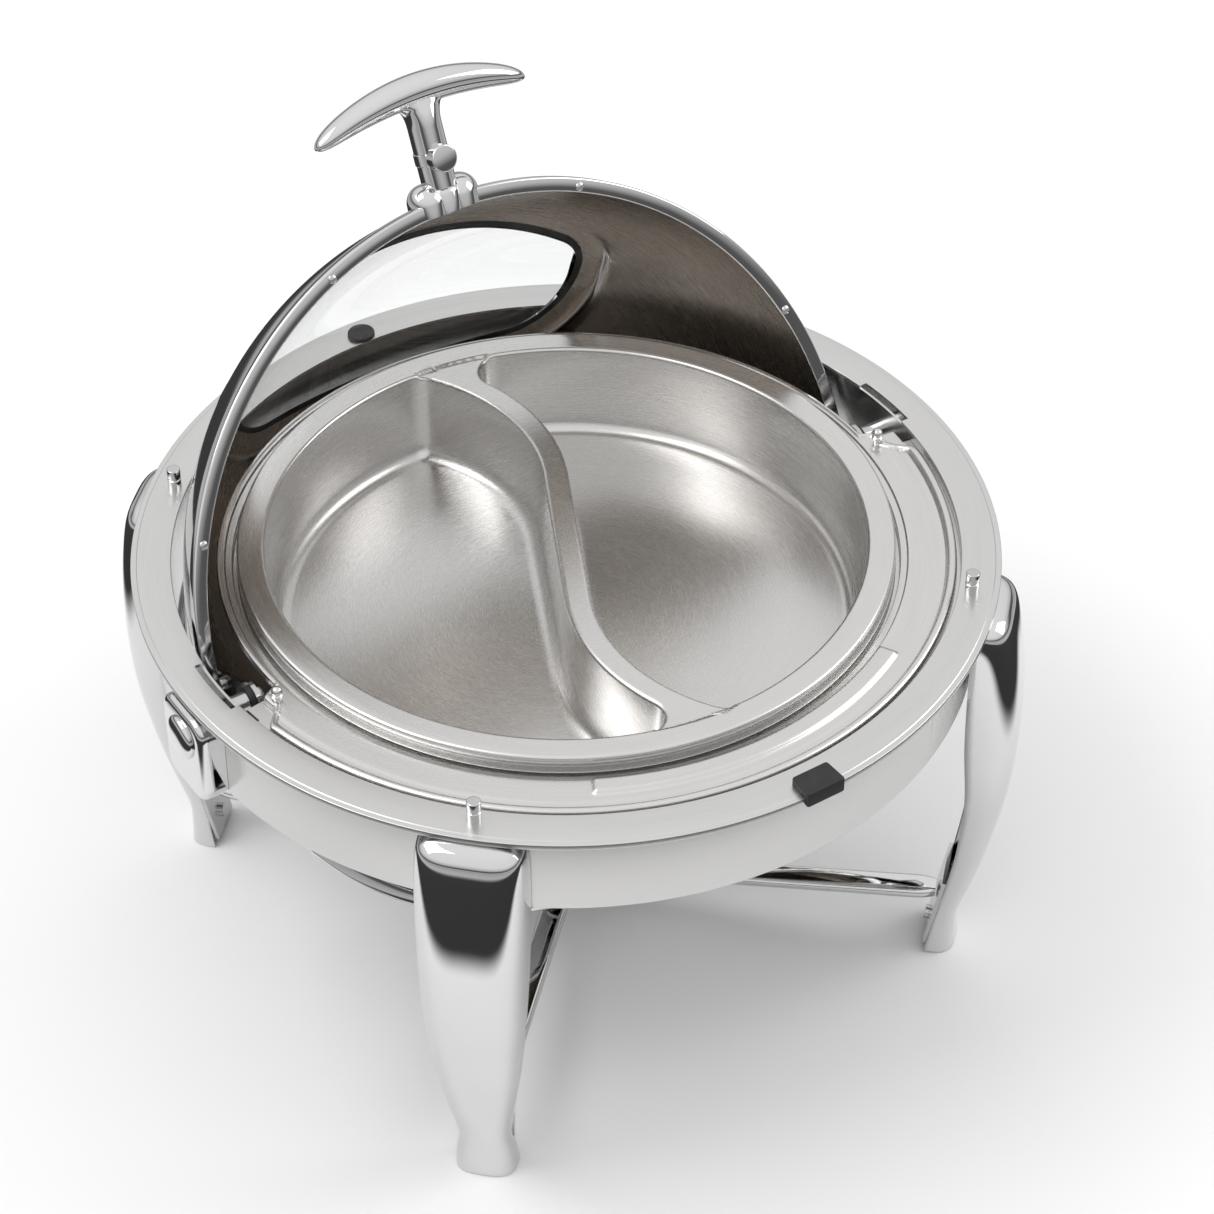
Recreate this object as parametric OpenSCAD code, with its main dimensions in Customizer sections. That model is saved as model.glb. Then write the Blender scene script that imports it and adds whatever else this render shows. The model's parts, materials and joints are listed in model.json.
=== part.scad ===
// Round roll-top chafer: a dome lid rolls back on a hinge axis below the top ring,
// over a divided food pan that hangs in a water pan on a four-legged stand.
// Millimetres, +Z up, origin on the floor under the centre, handle side towards -Y.

/* [Top ring] */
// Outer radius of the top ring
ring_r = 250; // [246:0.5:256]
// Inner radius of the top ring
ring_in_r = 227; // [226:0.5:230]
// Height of the ring's top face above the floor
ring_top = 281; // [275:1:300]
// Thickness of the ring's plate
ring_t = 2; // [1.5:0.1:2.5]
// Depth of the lip turned down at the ring's outer edge
ring_lip = 4; // [3:0.5:4]
// Radius of the circle that the four rim studs stand on
stud_circle_r = 234.5; // [233:0.5:236]
// Radius of a rim stud
stud_r = 4; // [3:0.5:4.5]
// Height of a rim stud above the ring
stud_h = 13; // [8:1:16]

/* [Skirt and legs] */
// Outer radius of the skirt band
skirt_r = 239; // [238:0.5:240]
// Thickness of the skirt and liner bands
band_t = 1.5; // [1.2:0.1:1.8]
// How far the skirt reaches below the ring's top face
skirt_drop = 59; // [50:1:65]
// How far the liner reaches below the ring's top face
liner_drop = 48; // [40:1:55]
// Wall thickness of a leg
leg_t = 2; // [1.6:0.1:2.4]
// Height of the stretcher bars' axis at the legs
bar_z = 39; // [37:0.5:42]
// Height of the stretcher bars' axis at the hub
hub_z = 15; // [14:0.5:18]

/* [Pans] */
// Radius of the food pan's flange
pan_r = 189.3; // [188:0.1:190]
// Height of the food pan's flange above the ring
pan_proud = 5; // [4:0.5:6]
// Radius of the circle that the two wells lie in
well_r = 173; // [170:0.5:174]
// Depth of the food pan below its flange
pan_depth = 62; // [50:1:66]
// Width of the divider between the wells
divider_w = 15; // [12:0.5:20]
// Sheet thickness of the pans
sheet = 1.2; // [1:0.1:1.5]
// Depth of the water pan below the ring
water_depth = 100; // [90:1:110]

/* [Lid] */
// How far the lid is open as shown
lid_open = 114; // [0:1:160]
// Radius of the dome, centred on the hinge axis
dome_r = 221; // [219:0.5:221]
// Thickness of the dome's sheet
dome_t = 2; // [1.5:0.1:2.2]
// How far the hinge axis lies below the ring's top face
hinge_drop = 20; // [18:0.5:22]
// Height of the closed lid's rim above the ring
rim_rise = 12; // [11:0.5:13]
// Half width of the window
window_x = 122; // [100:1:125]
// Height of the window's front edge above the hinge axis
window_front = 115; // [105:1:125]
// Distance of the window's rear edge in front of the hinge axis
window_rear = 86; // [80:1:95]

/* [Handle] */
// Height of the handle's axis above the ring with the lid closed
handle_rise = 21; // [20:0.5:22]
// Radius of the handle's post
post_r = 10; // [9:0.5:10.5]
// Inner radius of the curved grip
grip_in_r = 273.5; // [270:0.5:278]
// Radial thickness of the grip at its middle
grip_w = 18.5; // [16:0.5:20]
// Half angle that the grip spans about the ring's centre
grip_angle = 14.3; // [12:0.1:16]

/* [Hidden] */
$fn = 96;

eps = 0.05;                         // clearance between fixed neighbours
fine = 180;                         // sides of the large round shapes
big = 400;                          // reach of the cutting solids
hinge_z = ring_top - hinge_drop;
leg_angles = [-135, -45, 45, 135];
skirt_in = skirt_r - band_t;

// A solid of revolution from a list of [radius, height above the ring]
module turned(outline) {
    translate([0, 0, ring_top]) rotate_extrude($fn = fine) polygon(outline);
}
// The same over a sector from one azimuth to another
module turned_sector(outline, from, to) {
    translate([0, 0, ring_top]) rotate([0, 0, from])
        rotate_extrude(angle = to - from, $fn = fine) polygon(outline);
}
// A band between two radii and two heights above the ring
function band(r0, r1, z0, z1) = [[r0, z0], [r1, z0], [r1, z1], [r0, z1]];
// A cylinder along X between two distances from the centre, on one side
module rod_x(side, x0, x1, r) {
    translate([side * (side > 0 ? x0 : x1), 0, 0]) rotate([0, 90, 0]) cylinder(h = x1 - x0, r = r);
}
// Turn the lid from closed to its open rest about the hinge axis
module lid_place() {
    translate([0, 0, hinge_z]) rotate([-lid_open, 0, 0]) children();
}

// ---- ring, bands and what stands on them ----
notch_r = 232;                      // outer reach of the hinge notch in the ring
notch_y = 21;                       // half width of the hinge notch
barrel_r = 6;
barrel_in = 212;                    // inner end of the hinge barrel
barrel_out = 245;
pin_r = 4;
stud_shank_r = 2.5;
stud_shank_h = 8;
cut = 20;                           // height of the holes cut through the ring
bolt_r = 2.5;
bolt_len = 12;
bolt_head_r = 4.5;
bolt_head_h = 3;
bolt_drops = [27, 45];              // heights of the leg bolts below the ring

module rim_ring() color("gainsboro") difference() {
    turned([[ring_in_r, -ring_t], [ring_in_r, 0], [ring_r, 0], [ring_r, -ring_lip],
        [ring_r - ring_t, -ring_lip], [ring_r - ring_t, -ring_t]]);
    intersection() {
        translate([-big, -notch_y, ring_top - cut / 2]) cube([2 * big, 2 * notch_y, cut]);
        translate([0, 0, ring_top - cut / 2]) cylinder(h = cut, r = notch_r, $fn = fine);
    }
    for (a = leg_angles) rotate([0, 0, a])
        translate([stud_circle_r, 0, ring_top - cut / 2]) cylinder(h = cut, r = stud_shank_r + eps);
    translate([0, rear_bumper_y, ring_top - cut / 2]) cylinder(h = cut, r = bumper_stem_r + eps);
}
module hinge_holes() {
    for (side = [-1, 1]) translate([0, 0, hinge_z]) rod_x(side, barrel_in, ring_r, barrel_r + eps);
}
module skirt_band() color("silver") difference() {
    turned(band(skirt_in, skirt_r, -skirt_drop, -ring_t));
    hinge_holes();
    for (a = leg_angles, d = bolt_drops) rotate([0, 0, a])
        translate([skirt_in - 5, 0, ring_top - d]) rotate([0, 90, 0])
            cylinder(h = bolt_len, r = bolt_r + eps);
}
module liner_band() color("silver") difference() {
    turned(band(ring_in_r, ring_in_r + band_t, -liner_drop, -ring_t));
    hinge_holes();
}
ledge_top = -6.7;
shelf_from = -172;                  // azimuths between which the pan's shelf and its ledge run
shelf_to = -8;
pin_azimuth = 6.9;                  // azimuth of the locating pins in front of the hinge axis
pan_pin_r = 206.5;
pan_pin_shank_r = 2.2;
ledge_t = 2;
ledge_in = 214;                     // inner radius of the ledge
tab_half = 7;                       // half width of the tabs that the pins stand on
// A flat tab along the radius under each locating pin
module pin_tabs(r0, r1, z0, z1) for (a = [-pin_azimuth, pin_azimuth - 180]) rotate([0, 0, a])
    translate([r0, -tab_half, ring_top + z0]) cube([r1 - r0, 2 * tab_half, z1 - z0]);
module pan_ledge() color("silver") {
    turned_sector(band(ledge_in, ring_in_r - 2 * eps, ledge_top - ledge_t, ledge_top),
        shelf_from, shelf_to);
    pin_tabs(pan_pin_r - 5, ledge_in + 8, ledge_top - ledge_t, ledge_top);
}
module rim_studs() color("silver") for (a = leg_angles) rotate([0, 0, a])
    translate([stud_circle_r, 0, ring_top]) {
        cylinder(h = stud_h, r = stud_r);
        translate([0, 0, -stud_shank_h]) cylinder(h = stud_shank_h, r = stud_shank_r);
    }

// ---- rubber bumpers ----
bumper_w = 24;
bumper_in = 237;                    // distance of its inner side from the centre
bumper_out = 253.5;
bumper_h = 5;
rear_bumper_y = 234.5;
rear_bumper_r = 8.5;
rear_bumper_h = 3;
bumper_stem_r = 3;
module front_bumper() color("black") difference() {
    translate([-bumper_w / 2, -bumper_out, ring_top - ring_lip - 1])
        cube([bumper_w, bumper_out - bumper_in, ring_lip + 1 + bumper_h]);
    translate([0, 0, ring_top - cut]) cylinder(h = cut + eps, r = ring_r + eps, $fn = fine);
}
module rear_bumper() color("black") translate([0, rear_bumper_y, ring_top]) {
    translate([0, 0, eps]) cylinder(h = rear_bumper_h, r = rear_bumper_r);
    translate([0, 0, -6]) cylinder(h = 7, r = bumper_stem_r);
}

// ---- legs: a hollow cabriole shell, open towards the centre ----
// Stations up the leg: height, half width, outer radius, radius of the open edge
leg_stations = [[0.4, 18.4, 244, 226.4], [13, 17.6, 243.4, 228.5], [27, 15.6, 243.8, 230.8],
    [40, 16.4, 246.8, 233], [62, 19.4, 252.8, 236.8], [95, 24, 260, 241],
    [140, 28.2, 267.5, 243.3], [185, 30.2, 270, 240.5], [225, 31, 268, 239.5],
    [262, 30.5, 262.5, 239.3], [273, 27, 257, 239.3], [276.8, 17, 248, 239.3]];
// Steps between two stations, sides of a section, and the squareness of its corners
leg_steps = 3;
leg_sides = 12;
leg_square = 0.62;
// A point on the smooth curve through four neighbours
function through(a, b, c, d, t) = 0.5 * ((2 * b) + (c - a) * t + (2 * a - 5 * b + 4 * c - d) * t * t
    + (3 * b - a - 3 * c + d) * t * t * t);
function smooth_stations(s) = [for (i = [0:len(s) - 2], k = [0:leg_steps - 1])
    through(s[max(i - 1, 0)], s[i], s[i + 1], s[min(i + 2, len(s) - 1)], k / leg_steps),
    s[len(s) - 1]];
function power(v, p) = sign(v) * pow(abs(v), p);
// One D-shaped section, inset by t all round its outer face
function leg_section(s, t, back) = [for (k = [0:leg_sides])
    let (a = -90 + 180 * k / leg_sides)
    [s[3] - back + (s[2] - t - s[3] + back) * power(cos(a), leg_square),
        (s[1] - t) * power(sin(a), leg_square), s[0]]];
// A closed skin over sections that have the same number of points
module loft(sections) {
    n = len(sections[0]);
    m = len(sections);
    polyhedron([for (s = sections) each s], concat(
        [for (k = [1:n - 2]) [0, k, k + 1]],
        [for (i = [0:m - 2], k = [0:n - 1])
            let (a = i * n + k, b = i * n + (k + 1) % n, c = a + n, d = b + n) each [[a, c, b], [b, c, d]]],
        [for (k = [1:n - 2]) [(m - 1) * n, (m - 1) * n + k + 1, (m - 1) * n + k]]), convexity = 6);
}
cavity_top = 273;                   // top of the hollow inside a leg
cavity_reach = 20;                  // how far the hollow runs past the open edge
module leg(azimuth) color("gainsboro") rotate([0, 0, azimuth]) difference() {
    stations = smooth_stations(leg_stations);
    foot = leg_stations[0];
    loft([for (s = stations) leg_section(s, 0, 0)]);
    loft(concat([leg_section([-2, foot[1], foot[2], foot[3]], leg_t, cavity_reach)],
        [for (s = stations) if (s[0] < cavity_top) leg_section(s, leg_t, cavity_reach)]));
}
module leg_front_left() leg(-135);
module leg_front_right() leg(-45);
module leg_back_right() leg(45);
module leg_back_left() leg(135);

bracket_w = 50;
bracket_t = 3;
bracket_in = skirt_r + 0.3;         // inner face of a bracket
bracket_low = 54;                   // depth of its lower end below the ring
bracket_h = 38;
nut_r = 4.6;
nut_h = 4;
module leg_brackets() color("darkgray") for (a = leg_angles) rotate([0, 0, a]) difference() {
    translate([bracket_in, -bracket_w / 2, ring_top - bracket_low]) cube([bracket_t, bracket_w, bracket_h]);
    for (d = bolt_drops) translate([bracket_in - 5, 0, ring_top - d]) rotate([0, 90, 0])
        cylinder(h = bolt_len, r = bolt_r + eps);
}
module leg_bolts() color("silver") for (a = leg_angles, d = bolt_drops) rotate([0, 0, a])
    translate([skirt_in - 0.4, 0, ring_top - d]) rotate([0, 90, 0]) {
        translate([0, 0, -bolt_head_h]) cylinder(h = bolt_head_h, r = bolt_head_r);
        cylinder(h = bolt_len, r = bolt_r);
    }
module leg_nuts() color("darkgray") for (a = leg_angles, d = bolt_drops) rotate([0, 0, a])
    translate([bracket_in + bracket_t + eps, 0, ring_top - d]) rotate([0, 90, 0]) difference() {
        cylinder(h = nut_h, r = nut_r, $fn = 6);
        translate([0, 0, -1]) cylinder(h = nut_h + 2, r = bolt_r + eps);
    }
glide_r = 6.4;
glide_h = 8;
glide_at = 235;                     // distance of a foot glide from the centre
module foot_glides() color("dimgray") for (a = leg_angles) rotate([0, 0, a])
    translate([glide_at, 0, 0]) cylinder(h = glide_h, r = glide_r);

// ---- stretcher: four flattened tubes from a hub to plates on the legs' open edges ----
plate_foot_r = 223.5;               // radius of a plate's inner face at the floor
plate_slope = 9.65;                 // its lean from the vertical
plate_t = 2.5;
plate_low = 5;
plate_high = 62;
plate_half_low = 15;                // its half width at either end
plate_half_high = 18;
bar_r = 4;
bar_half = 4.5;                     // half distance between the tube's two round sides
bar_wall = 1.2;
hub_r = 20;
hub_h = 18;
hub_bore_r = 4;
leg_reach = 230;                    // where the bars' height at the legs is taken
bar_slope = atan((bar_z - hub_z) / leg_reach);
// Stand on a plate's inner face, with X through the plate and Z up its slope
module plate_place(azimuth) rotate([0, 0, azimuth])
    translate([plate_foot_r, 0, 0]) rotate([0, plate_slope, 0]) children();
module bar_outline(r) {
    for (s = [-1, 1]) translate([0, s * bar_half]) circle(r, $fn = 48);
    square([2 * r, 2 * bar_half], center = true);
}
module bar(azimuth) color("silver") difference() {
    rotate([0, 0, azimuth]) translate([0, 0, hub_z]) rotate([0, -bar_slope, 0]) rotate([90, 0, 90])
        linear_extrude(ring_r) difference() {
            bar_outline(bar_r);
            bar_outline(bar_r - bar_wall);
        }
    translate([0, 0, -big]) cylinder(h = 2 * big, r = hub_r + eps);
    plate_place(azimuth) translate([0, -big / 2, -big / 2]) cube(big);
}
module bar_front_left() bar(-135);
module bar_front_right() bar(-45);
module bar_back_right() bar(45);
module bar_back_left() bar(135);
module bar_hub() color("silver") difference() {
    translate([0, 0, hub_z + 1 - hub_h / 2]) cylinder(h = hub_h, r = hub_r);
    translate([0, 0, -big]) cylinder(h = 2 * big, r = hub_bore_r);
}
screw_up = 17;                      // height of the plate screws along the plate
screw_shank_r = 2;
screw_len = 9;
screw_head_r = 4.4;
screw_head_h = 2.6;
module bar_plates() color("silver") for (a = leg_angles) plate_place(a) difference() {
    translate([0.1, 0, 0]) rotate([90, 0, 90]) linear_extrude(plate_t)
        polygon([[-plate_half_low, plate_low], [plate_half_low, plate_low],
            [plate_half_high, plate_high], [-plate_half_high, plate_high]]);
    translate([-1, 0, screw_up]) rotate([0, 90, 0]) cylinder(h = screw_len, r = screw_shank_r + eps);
}
module plate_screws() color("gray") for (a = leg_angles) plate_place(a)
    translate([0.05, 0, screw_up]) rotate([0, 90, 0]) {
        translate([0, 0, -screw_head_h]) cylinder(h = screw_head_h, r = screw_head_r);
        cylinder(h = screw_len, r = screw_shank_r);
    }

// ---- hinge covers, caps and barrels ----
cover_w = 44;
cover_h = 58;
cover_in = 225;                     // where its block starts, inside the skirt that trims it
cover_out = 253;
cover_round = 11;
cover_t = 2;
cover_z = ring_top - ring_lip - 2 - cover_h / 2;
cap_r = 13;
cap_t = 4.5;
module cover_outline(w, h, r) {
    square([h - 2 * r, w], center = true);
    square([h, w - 2 * r], center = true);
    for (x = [-1, 1], y = [-1, 1]) translate([x * (h / 2 - r), y * (w / 2 - r)]) circle(r, $fn = 48);
}
module cover_block(side, grow, x1) translate([side > 0 ? cover_in : -x1, 0, cover_z]) rotate([0, 90, 0])
    linear_extrude(x1 - cover_in) cover_outline(cover_w - 2 * grow, cover_h - 2 * grow, cover_round - grow);
module hinge_cover(side) color("gainsboro") difference() {
    cover_block(side, 0, cover_out);
    cover_block(side, cover_t, cover_out - cover_t);
    translate([0, 0, cover_z - cover_h]) cylinder(h = 2 * cover_h, r = skirt_r + eps, $fn = fine);
}
module hinge_cover_left() hinge_cover(-1);
module hinge_cover_right() hinge_cover(1);
module hinge_caps() color("silver") for (side = [-1, 1]) translate([0, 0, hinge_z - 6])
    rod_x(side, cover_out + eps, cover_out + cap_t, cap_r);
module hinge_barrel(side) color("silver") translate([0, 0, hinge_z]) difference() {
    rod_x(side, barrel_in, barrel_out, barrel_r);
    rod_x(side, barrel_in - 1, barrel_out + 1, pin_r + eps);
}
module hinge_barrel_left() hinge_barrel(-1);
module hinge_barrel_right() hinge_barrel(1);

// ---- water pan: a round pan with a wide shelf round its front half ----
shelf = -4;                         // height of the shelf's face above the ring
pan_wall_r = 178;
floor_r = 165;                      // flat floor of the water pan
foot_r = 176.6;                     // its wall's outer radius where the slope to the floor begins
floor_rise = 12;
seat_r = 196;                       // outer radius of the ledge that the food pan's lip sits on
pan_lip_drop = 5.6;                 // how far the food pan's lip reaches below the ring
seat = -pan_lip_drop - 0.4;
wall_turn = 8;                      // height over which the wall rises straight to the seat
rear_in = 200;                      // the shelf's rolled edge at the rear
rear_out = 201.5;
rear_edge_h = 2.6;
raised_r = 208;                     // outer radius, height and azimuths of the raised front sector
raised_h = 2;
raised_from = -119;
raised_to = -61;
shelf_r = 222;                      // radius of the bead along the shelf's outer edge
bead_r = 3.2;
module water_pan() color("lightgray") difference() {
    union() {
        turned([[0, -water_depth], [floor_r, -water_depth], [foot_r, -water_depth + floor_rise],
            [pan_wall_r + sheet, seat - wall_turn], [pan_wall_r + sheet, seat - sheet],
            [seat_r + sheet, seat - sheet], [seat_r + sheet, shelf - sheet], [rear_in, shelf - sheet],
            [rear_out, shelf - rear_edge_h], [rear_out, shelf], [seat_r, shelf], [seat_r, seat],
            [pan_wall_r, seat], [pan_wall_r, seat - wall_turn],
            [foot_r - sheet, -water_depth + floor_rise + sheet / 2],
            [floor_r - sheet / 2, -water_depth + sheet], [0, -water_depth + sheet]]);
        turned_sector(band(seat_r + sheet / 2, shelf_r + 1, shelf - sheet, shelf),
            shelf_from, shelf_to);
        turned_sector([for (a = [15:30:345]) [shelf_r + bead_r * cos(a), shelf + 0.6 + bead_r * sin(a)]],
            shelf_from - 0.1, shelf_to + 0.1);
        turned_sector(band(seat_r + 0.9, raised_r, shelf - sheet / 2, shelf + raised_h),
            raised_from, raised_to);
        pin_tabs(seat_r + 2, pan_pin_r + 6, shelf - sheet, shelf);
    }
    for (a = [-pin_azimuth, pin_azimuth - 180]) rotate([0, 0, a])
        translate([pan_pin_r, 0, ring_top - 20]) cylinder(h = 40, r = pan_pin_shank_r + eps);
}
pin_neck_h = 5;                     // height of the pin's shank below its acorn head
pin_head_r = 3.2;
pin_head_h = 4;
module pan_pins() color("silver") for (a = [-pin_azimuth, pin_azimuth - 180]) rotate([0, 0, a])
    translate([pan_pin_r, 0, ring_top + ledge_top + 0.1]) {
        cylinder(h = pin_neck_h + 1, r = pan_pin_shank_r);
        translate([0, 0, pin_neck_h]) cylinder(h = pin_head_h, r = pin_head_r);
        translate([0, 0, pin_neck_h + pin_head_h]) sphere(pin_head_r, $fn = 48);
    }

// ---- food pan: two wells either side of an S-shaped divider ----
s_lean = atan(0.5);                 // lean of the divider's straight middle from the Y axis
s_half = 56;                        // half length of that straight
s_r = 120;                          // radius of the curves at its ends
s_reach = 204;                      // length of the divider's line past the round wall, and its steps
s_step = 12;
function s_heading(u) = s_lean - (abs(u) > s_half ? (abs(u) - s_half) / s_r * 180 / PI : 0);
// A point of the divider's line at length u from the middle, moved sideways by d
function s_point(u, d) = let (h = s_heading(u), g = sign(u), l = min(abs(u), s_half))
    [g * (l * sin(s_lean) + s_r * (cos(h) - cos(s_lean))) + d * cos(h),
     g * (l * cos(s_lean) + s_r * (sin(s_lean) - sin(h))) - d * sin(h)];
module well(side, grow, depth, top) translate([0, 0, ring_top + pan_proud - depth])
    intersection() {
        cylinder(h = depth + top, r = well_r + grow, $fn = fine);
        linear_extrude(depth + top) polygon(concat(
            [for (u = [-s_reach:s_step:s_reach]) s_point(u, side * (divider_w / 2 - grow))],
            [[side * big, big], [side * big, -big]]));
    }
module food_pan() color("silver") difference() {
    union() {
        turned(band(0, pan_r, pan_proud - sheet, pan_proud));
        turned(band(pan_r - sheet, pan_r, -pan_lip_drop, pan_proud - sheet / 2));
        for (side = [-1, 1]) well(side, sheet, pan_depth, -sheet / 2);
    }
    for (side = [-1, 1]) well(side, 0, pan_depth - sheet, 5);
}

// ---- lid: everything below is drawn closed and turned by lid_place ----
rim_low = rim_rise + hinge_drop;    // height of the rim's underside above the hinge axis
rim_in_r = 212;
rim_out_r = 220.5;
rim_t = 2;
skirt_edge = 4;                     // height of the rim's upstand round the dome
upstand_in = dome_r - 2.3;          // its inner radius
gasket_w = 4;
glass_gap = 0.1;
glass_out = dome_r - 0.5;
gasket_proud = 1;                   // how far the gasket stands proud of the dome's sheet, both sides
rear_round = 38;                    // corner radii of the window
front_round = 14;
glass_t = 3;
screw_hole_r = 3;
handle_z = handle_rise + hinge_drop;
// The window's prism: straight sides, a level front edge and rounded corners
module window_cut(inset) {
    x = window_x - inset;
    front = window_front + inset;
    rear = window_rear + inset;
    r_rear = rear_round - inset;
    r_front = front_round - inset;
    intersection() {
        linear_extrude(big) {
            translate([-x, -big]) square([2 * x, big - rear - r_rear]);
            translate([-x + r_rear, -big]) square([2 * (x - r_rear), big - rear]);
            for (s = [-1, 1]) translate([s * (x - r_rear), -rear - r_rear]) circle(r_rear);
        }
        rotate([90, 0, 0]) linear_extrude(big) {
            translate([-x, front + r_front]) square([2 * x, big]);
            translate([-x + r_front, front]) square([2 * (x - r_front), big]);
            for (s = [-1, 1]) translate([s * (x - r_front), front + r_front]) circle(r_front);
        }
    }
}
// A spherical shell about the hinge axis, above a given height
module cap_shell(r_in, r_out, low) difference() {
    sphere(r_out, $fn = fine);
    sphere(r_in, $fn = fine);
    translate([-big, -big, low - 2 * big]) cube([2 * big, 2 * big, 2 * big]);
}
module lid_dome() color("gainsboro") lid_place() difference() {
    cap_shell(dome_r - dome_t, dome_r, rim_low + rim_t + eps);
    window_cut(0);
    translate([0, 0, handle_z]) rotate([90, 0, 0]) cylinder(h = 240, r = screw_hole_r + eps);
}
rivet_angles = [for (k = [0:7]) 22.5 + 45 * k];
rivet_r = 1.5;
rivet_at = 215.5;
module lid_rim() color("silver") lid_place() difference() {
    translate([0, 0, rim_low]) rotate_extrude($fn = fine) polygon([[rim_in_r, 0], [rim_out_r, 0],
        [rim_out_r, skirt_edge + rim_t], [upstand_in, skirt_edge + rim_t], [upstand_in, rim_t],
        [rim_in_r, rim_t]]);
    for (a = rivet_angles) rotate([0, 0, a]) translate([rivet_at, 0, rim_low - 5])
        cylinder(h = 15, r = rivet_r + eps);
}
rivet_head_r = 2.6;
rivet_head_h = 1.2;
module rim_rivets() color("silver") lid_place() for (a = rivet_angles) rotate([0, 0, a])
    translate([rivet_at, 0, rim_low - rivet_head_h]) {
        cylinder(h = rivet_head_h - eps, r = rivet_head_r);
        cylinder(h = rim_t + rivet_head_h, r = rivet_r);
    }
module window_glass() color("lightblue", 0.4) lid_place() intersection() {
    cap_shell(glass_out - glass_t, glass_out, 1);
    window_cut(gasket_w + glass_gap);
}
module window_gasket() color("black") lid_place() difference() {
    intersection() {
        cap_shell(dome_r - dome_t - gasket_proud, dome_r + gasket_proud, 1);
        window_cut(glass_gap);
    }
    window_cut(gasket_w);
}

// ---- handle ----
saddle_r = 12.5;
saddle_x = 8.5;                     // half distance between the saddle's two lobes
post_in = 221.5;
post_out = 276;
lug_r = 8;
lug_at = 243.5;                     // distance of the stop lug from the hinge axis
lug_drop = hinge_drop + bumper_h + 0.3;
collar_r = 11;
module along_y(from, to, r) translate([0, -from, handle_z]) rotate([90, 0, 0])
    cylinder(h = to - from, r = r);
module handle_saddle() color("gainsboro") lid_place() difference() {
    union() {
        for (s = [-1, 1]) translate([s * saddle_x, 0, 0]) along_y(200, 228, saddle_r - 1.5);
        translate([-saddle_x, -228, handle_z - saddle_r + 1.5]) cube([2 * saddle_x, 28, 2 * saddle_r - 3]);
        along_y(200, 231, saddle_r - 1);
    }
    sphere(dome_r + eps, $fn = fine);
    translate([0, 0, handle_z - 50]) cylinder(h = 50 - (handle_z - rim_low - rim_t - skirt_edge) + 0.2,
        r = rim_out_r + eps, $fn = fine);
    along_y(200, 245, post_r - 2);
}
module handle_post() color("gainsboro") lid_place() difference() {
    union() {
        along_y(231 + eps, post_out - 3, post_r);
        along_y(post_in, 231 + 2 * eps, post_r - 2 - eps);
    }
    along_y(215, 240, screw_hole_r);
}
module stop_lug() color("gainsboro") lid_place() difference() {
    union() {
        along_y(lug_at - 4, lug_at + 4, collar_r);
        translate([0, -lug_at, lug_drop]) cylinder(h = handle_z - lug_drop, r = lug_r);
    }
    along_y(200, 280, post_r + eps);
}
module handle_screw() color("silver") lid_place() {
    along_y(dome_r - dome_t - 9, dome_r - dome_t - 5.4, 6);
    along_y(dome_r - dome_t - 6, 236, screw_hole_r - eps);
}
// The grip follows an arc about the ring's centre and thins towards its ends
grip_rings = 28;
grip_sides = 16;
grip_end = 4;                       // half thickness near the grip's ends
grip_half_h = 9.5;                  // half height of the grip at its middle
function grip_size(t, mid, end) = (end + (mid - end) * pow(cos(90 * t), 0.8))
    * sqrt(max(1 - pow(abs(t), 14), 0.02));
module handle_grip() color("gainsboro") lid_place() difference() {
    translate([0, 0, handle_z]) loft([for (k = [0:grip_rings])
        let (t = 2 * k / grip_rings - 1, a = -90 + grip_angle * t,
            w = grip_size(t, grip_w / 2, grip_end), h = grip_size(t, grip_half_h, 6))
        [for (j = [0:grip_sides - 1])
            let (b = 360 * j / grip_sides, r = grip_in_r + grip_size(t, grip_w / 2, grip_end) + w * cos(b))
            [r * cos(a), r * sin(a), h * sin(b)]]]);
    along_y(200, post_out - 3 + eps, post_r + eps);
}

// ---- hinge arms and pins ----
arm_in = 206.5;
arm_out = 209;
arm_lobe_r = 10;
arm_w = 16;
arm_heights = [40, 52];             // heights of the arm screws above the hinge axis
module arm_screw_holes(side, r) for (h = arm_heights)
    translate([0, 0, h]) rod_x(side, arm_in - 3, arm_out + 3, r);
module hinge_arm(side) color("silver") lid_place() difference() {
    union() {
        rod_x(side, arm_in, arm_out, arm_lobe_r);
        translate([0, 0, arm_heights[1]]) rod_x(side, arm_in, arm_out, arm_w / 2);
        translate([side > 0 ? arm_in : -arm_out, -arm_w / 2, 0])
            cube([arm_out - arm_in, arm_w, arm_heights[1]]);
    }
    rod_x(side, arm_in - 3, arm_out + 3, pin_r + eps);
    arm_screw_holes(side, bolt_r + eps);
}
module hinge_arm_left() hinge_arm(-1);
module hinge_arm_right() hinge_arm(1);
module hinge_pin(side) color("silver") lid_place() {
    rod_x(side, arm_in - 3.5, arm_in - eps, 6.5);
    rod_x(side, arm_in - 2, barrel_out - 1, pin_r);
}
module hinge_pin_left() hinge_pin(-1);
module hinge_pin_right() hinge_pin(1);
module arm_screws() color("silver") lid_place() for (side = [-1, 1], h = arm_heights) {
    translate([0, 0, h]) rod_x(side, arm_in - 2.2, arm_in - eps, 4);
    translate([0, 0, h]) rod_x(side, arm_in - 1, arm_out + 0.5, bolt_r);
    intersection() {
        translate([0, 0, h]) rod_x(side, arm_out + eps, dome_r, 4.5);
        sphere(dome_r - dome_t - eps, $fn = fine);
    }
}
module hinge_washers() color("dimgray") lid_place() for (side = [-1, 1]) difference() {
    rod_x(side, arm_out + eps, barrel_in - 0.3, 8);
    rod_x(side, arm_out - 2, barrel_in + 2, pin_r + eps);
}

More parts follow.
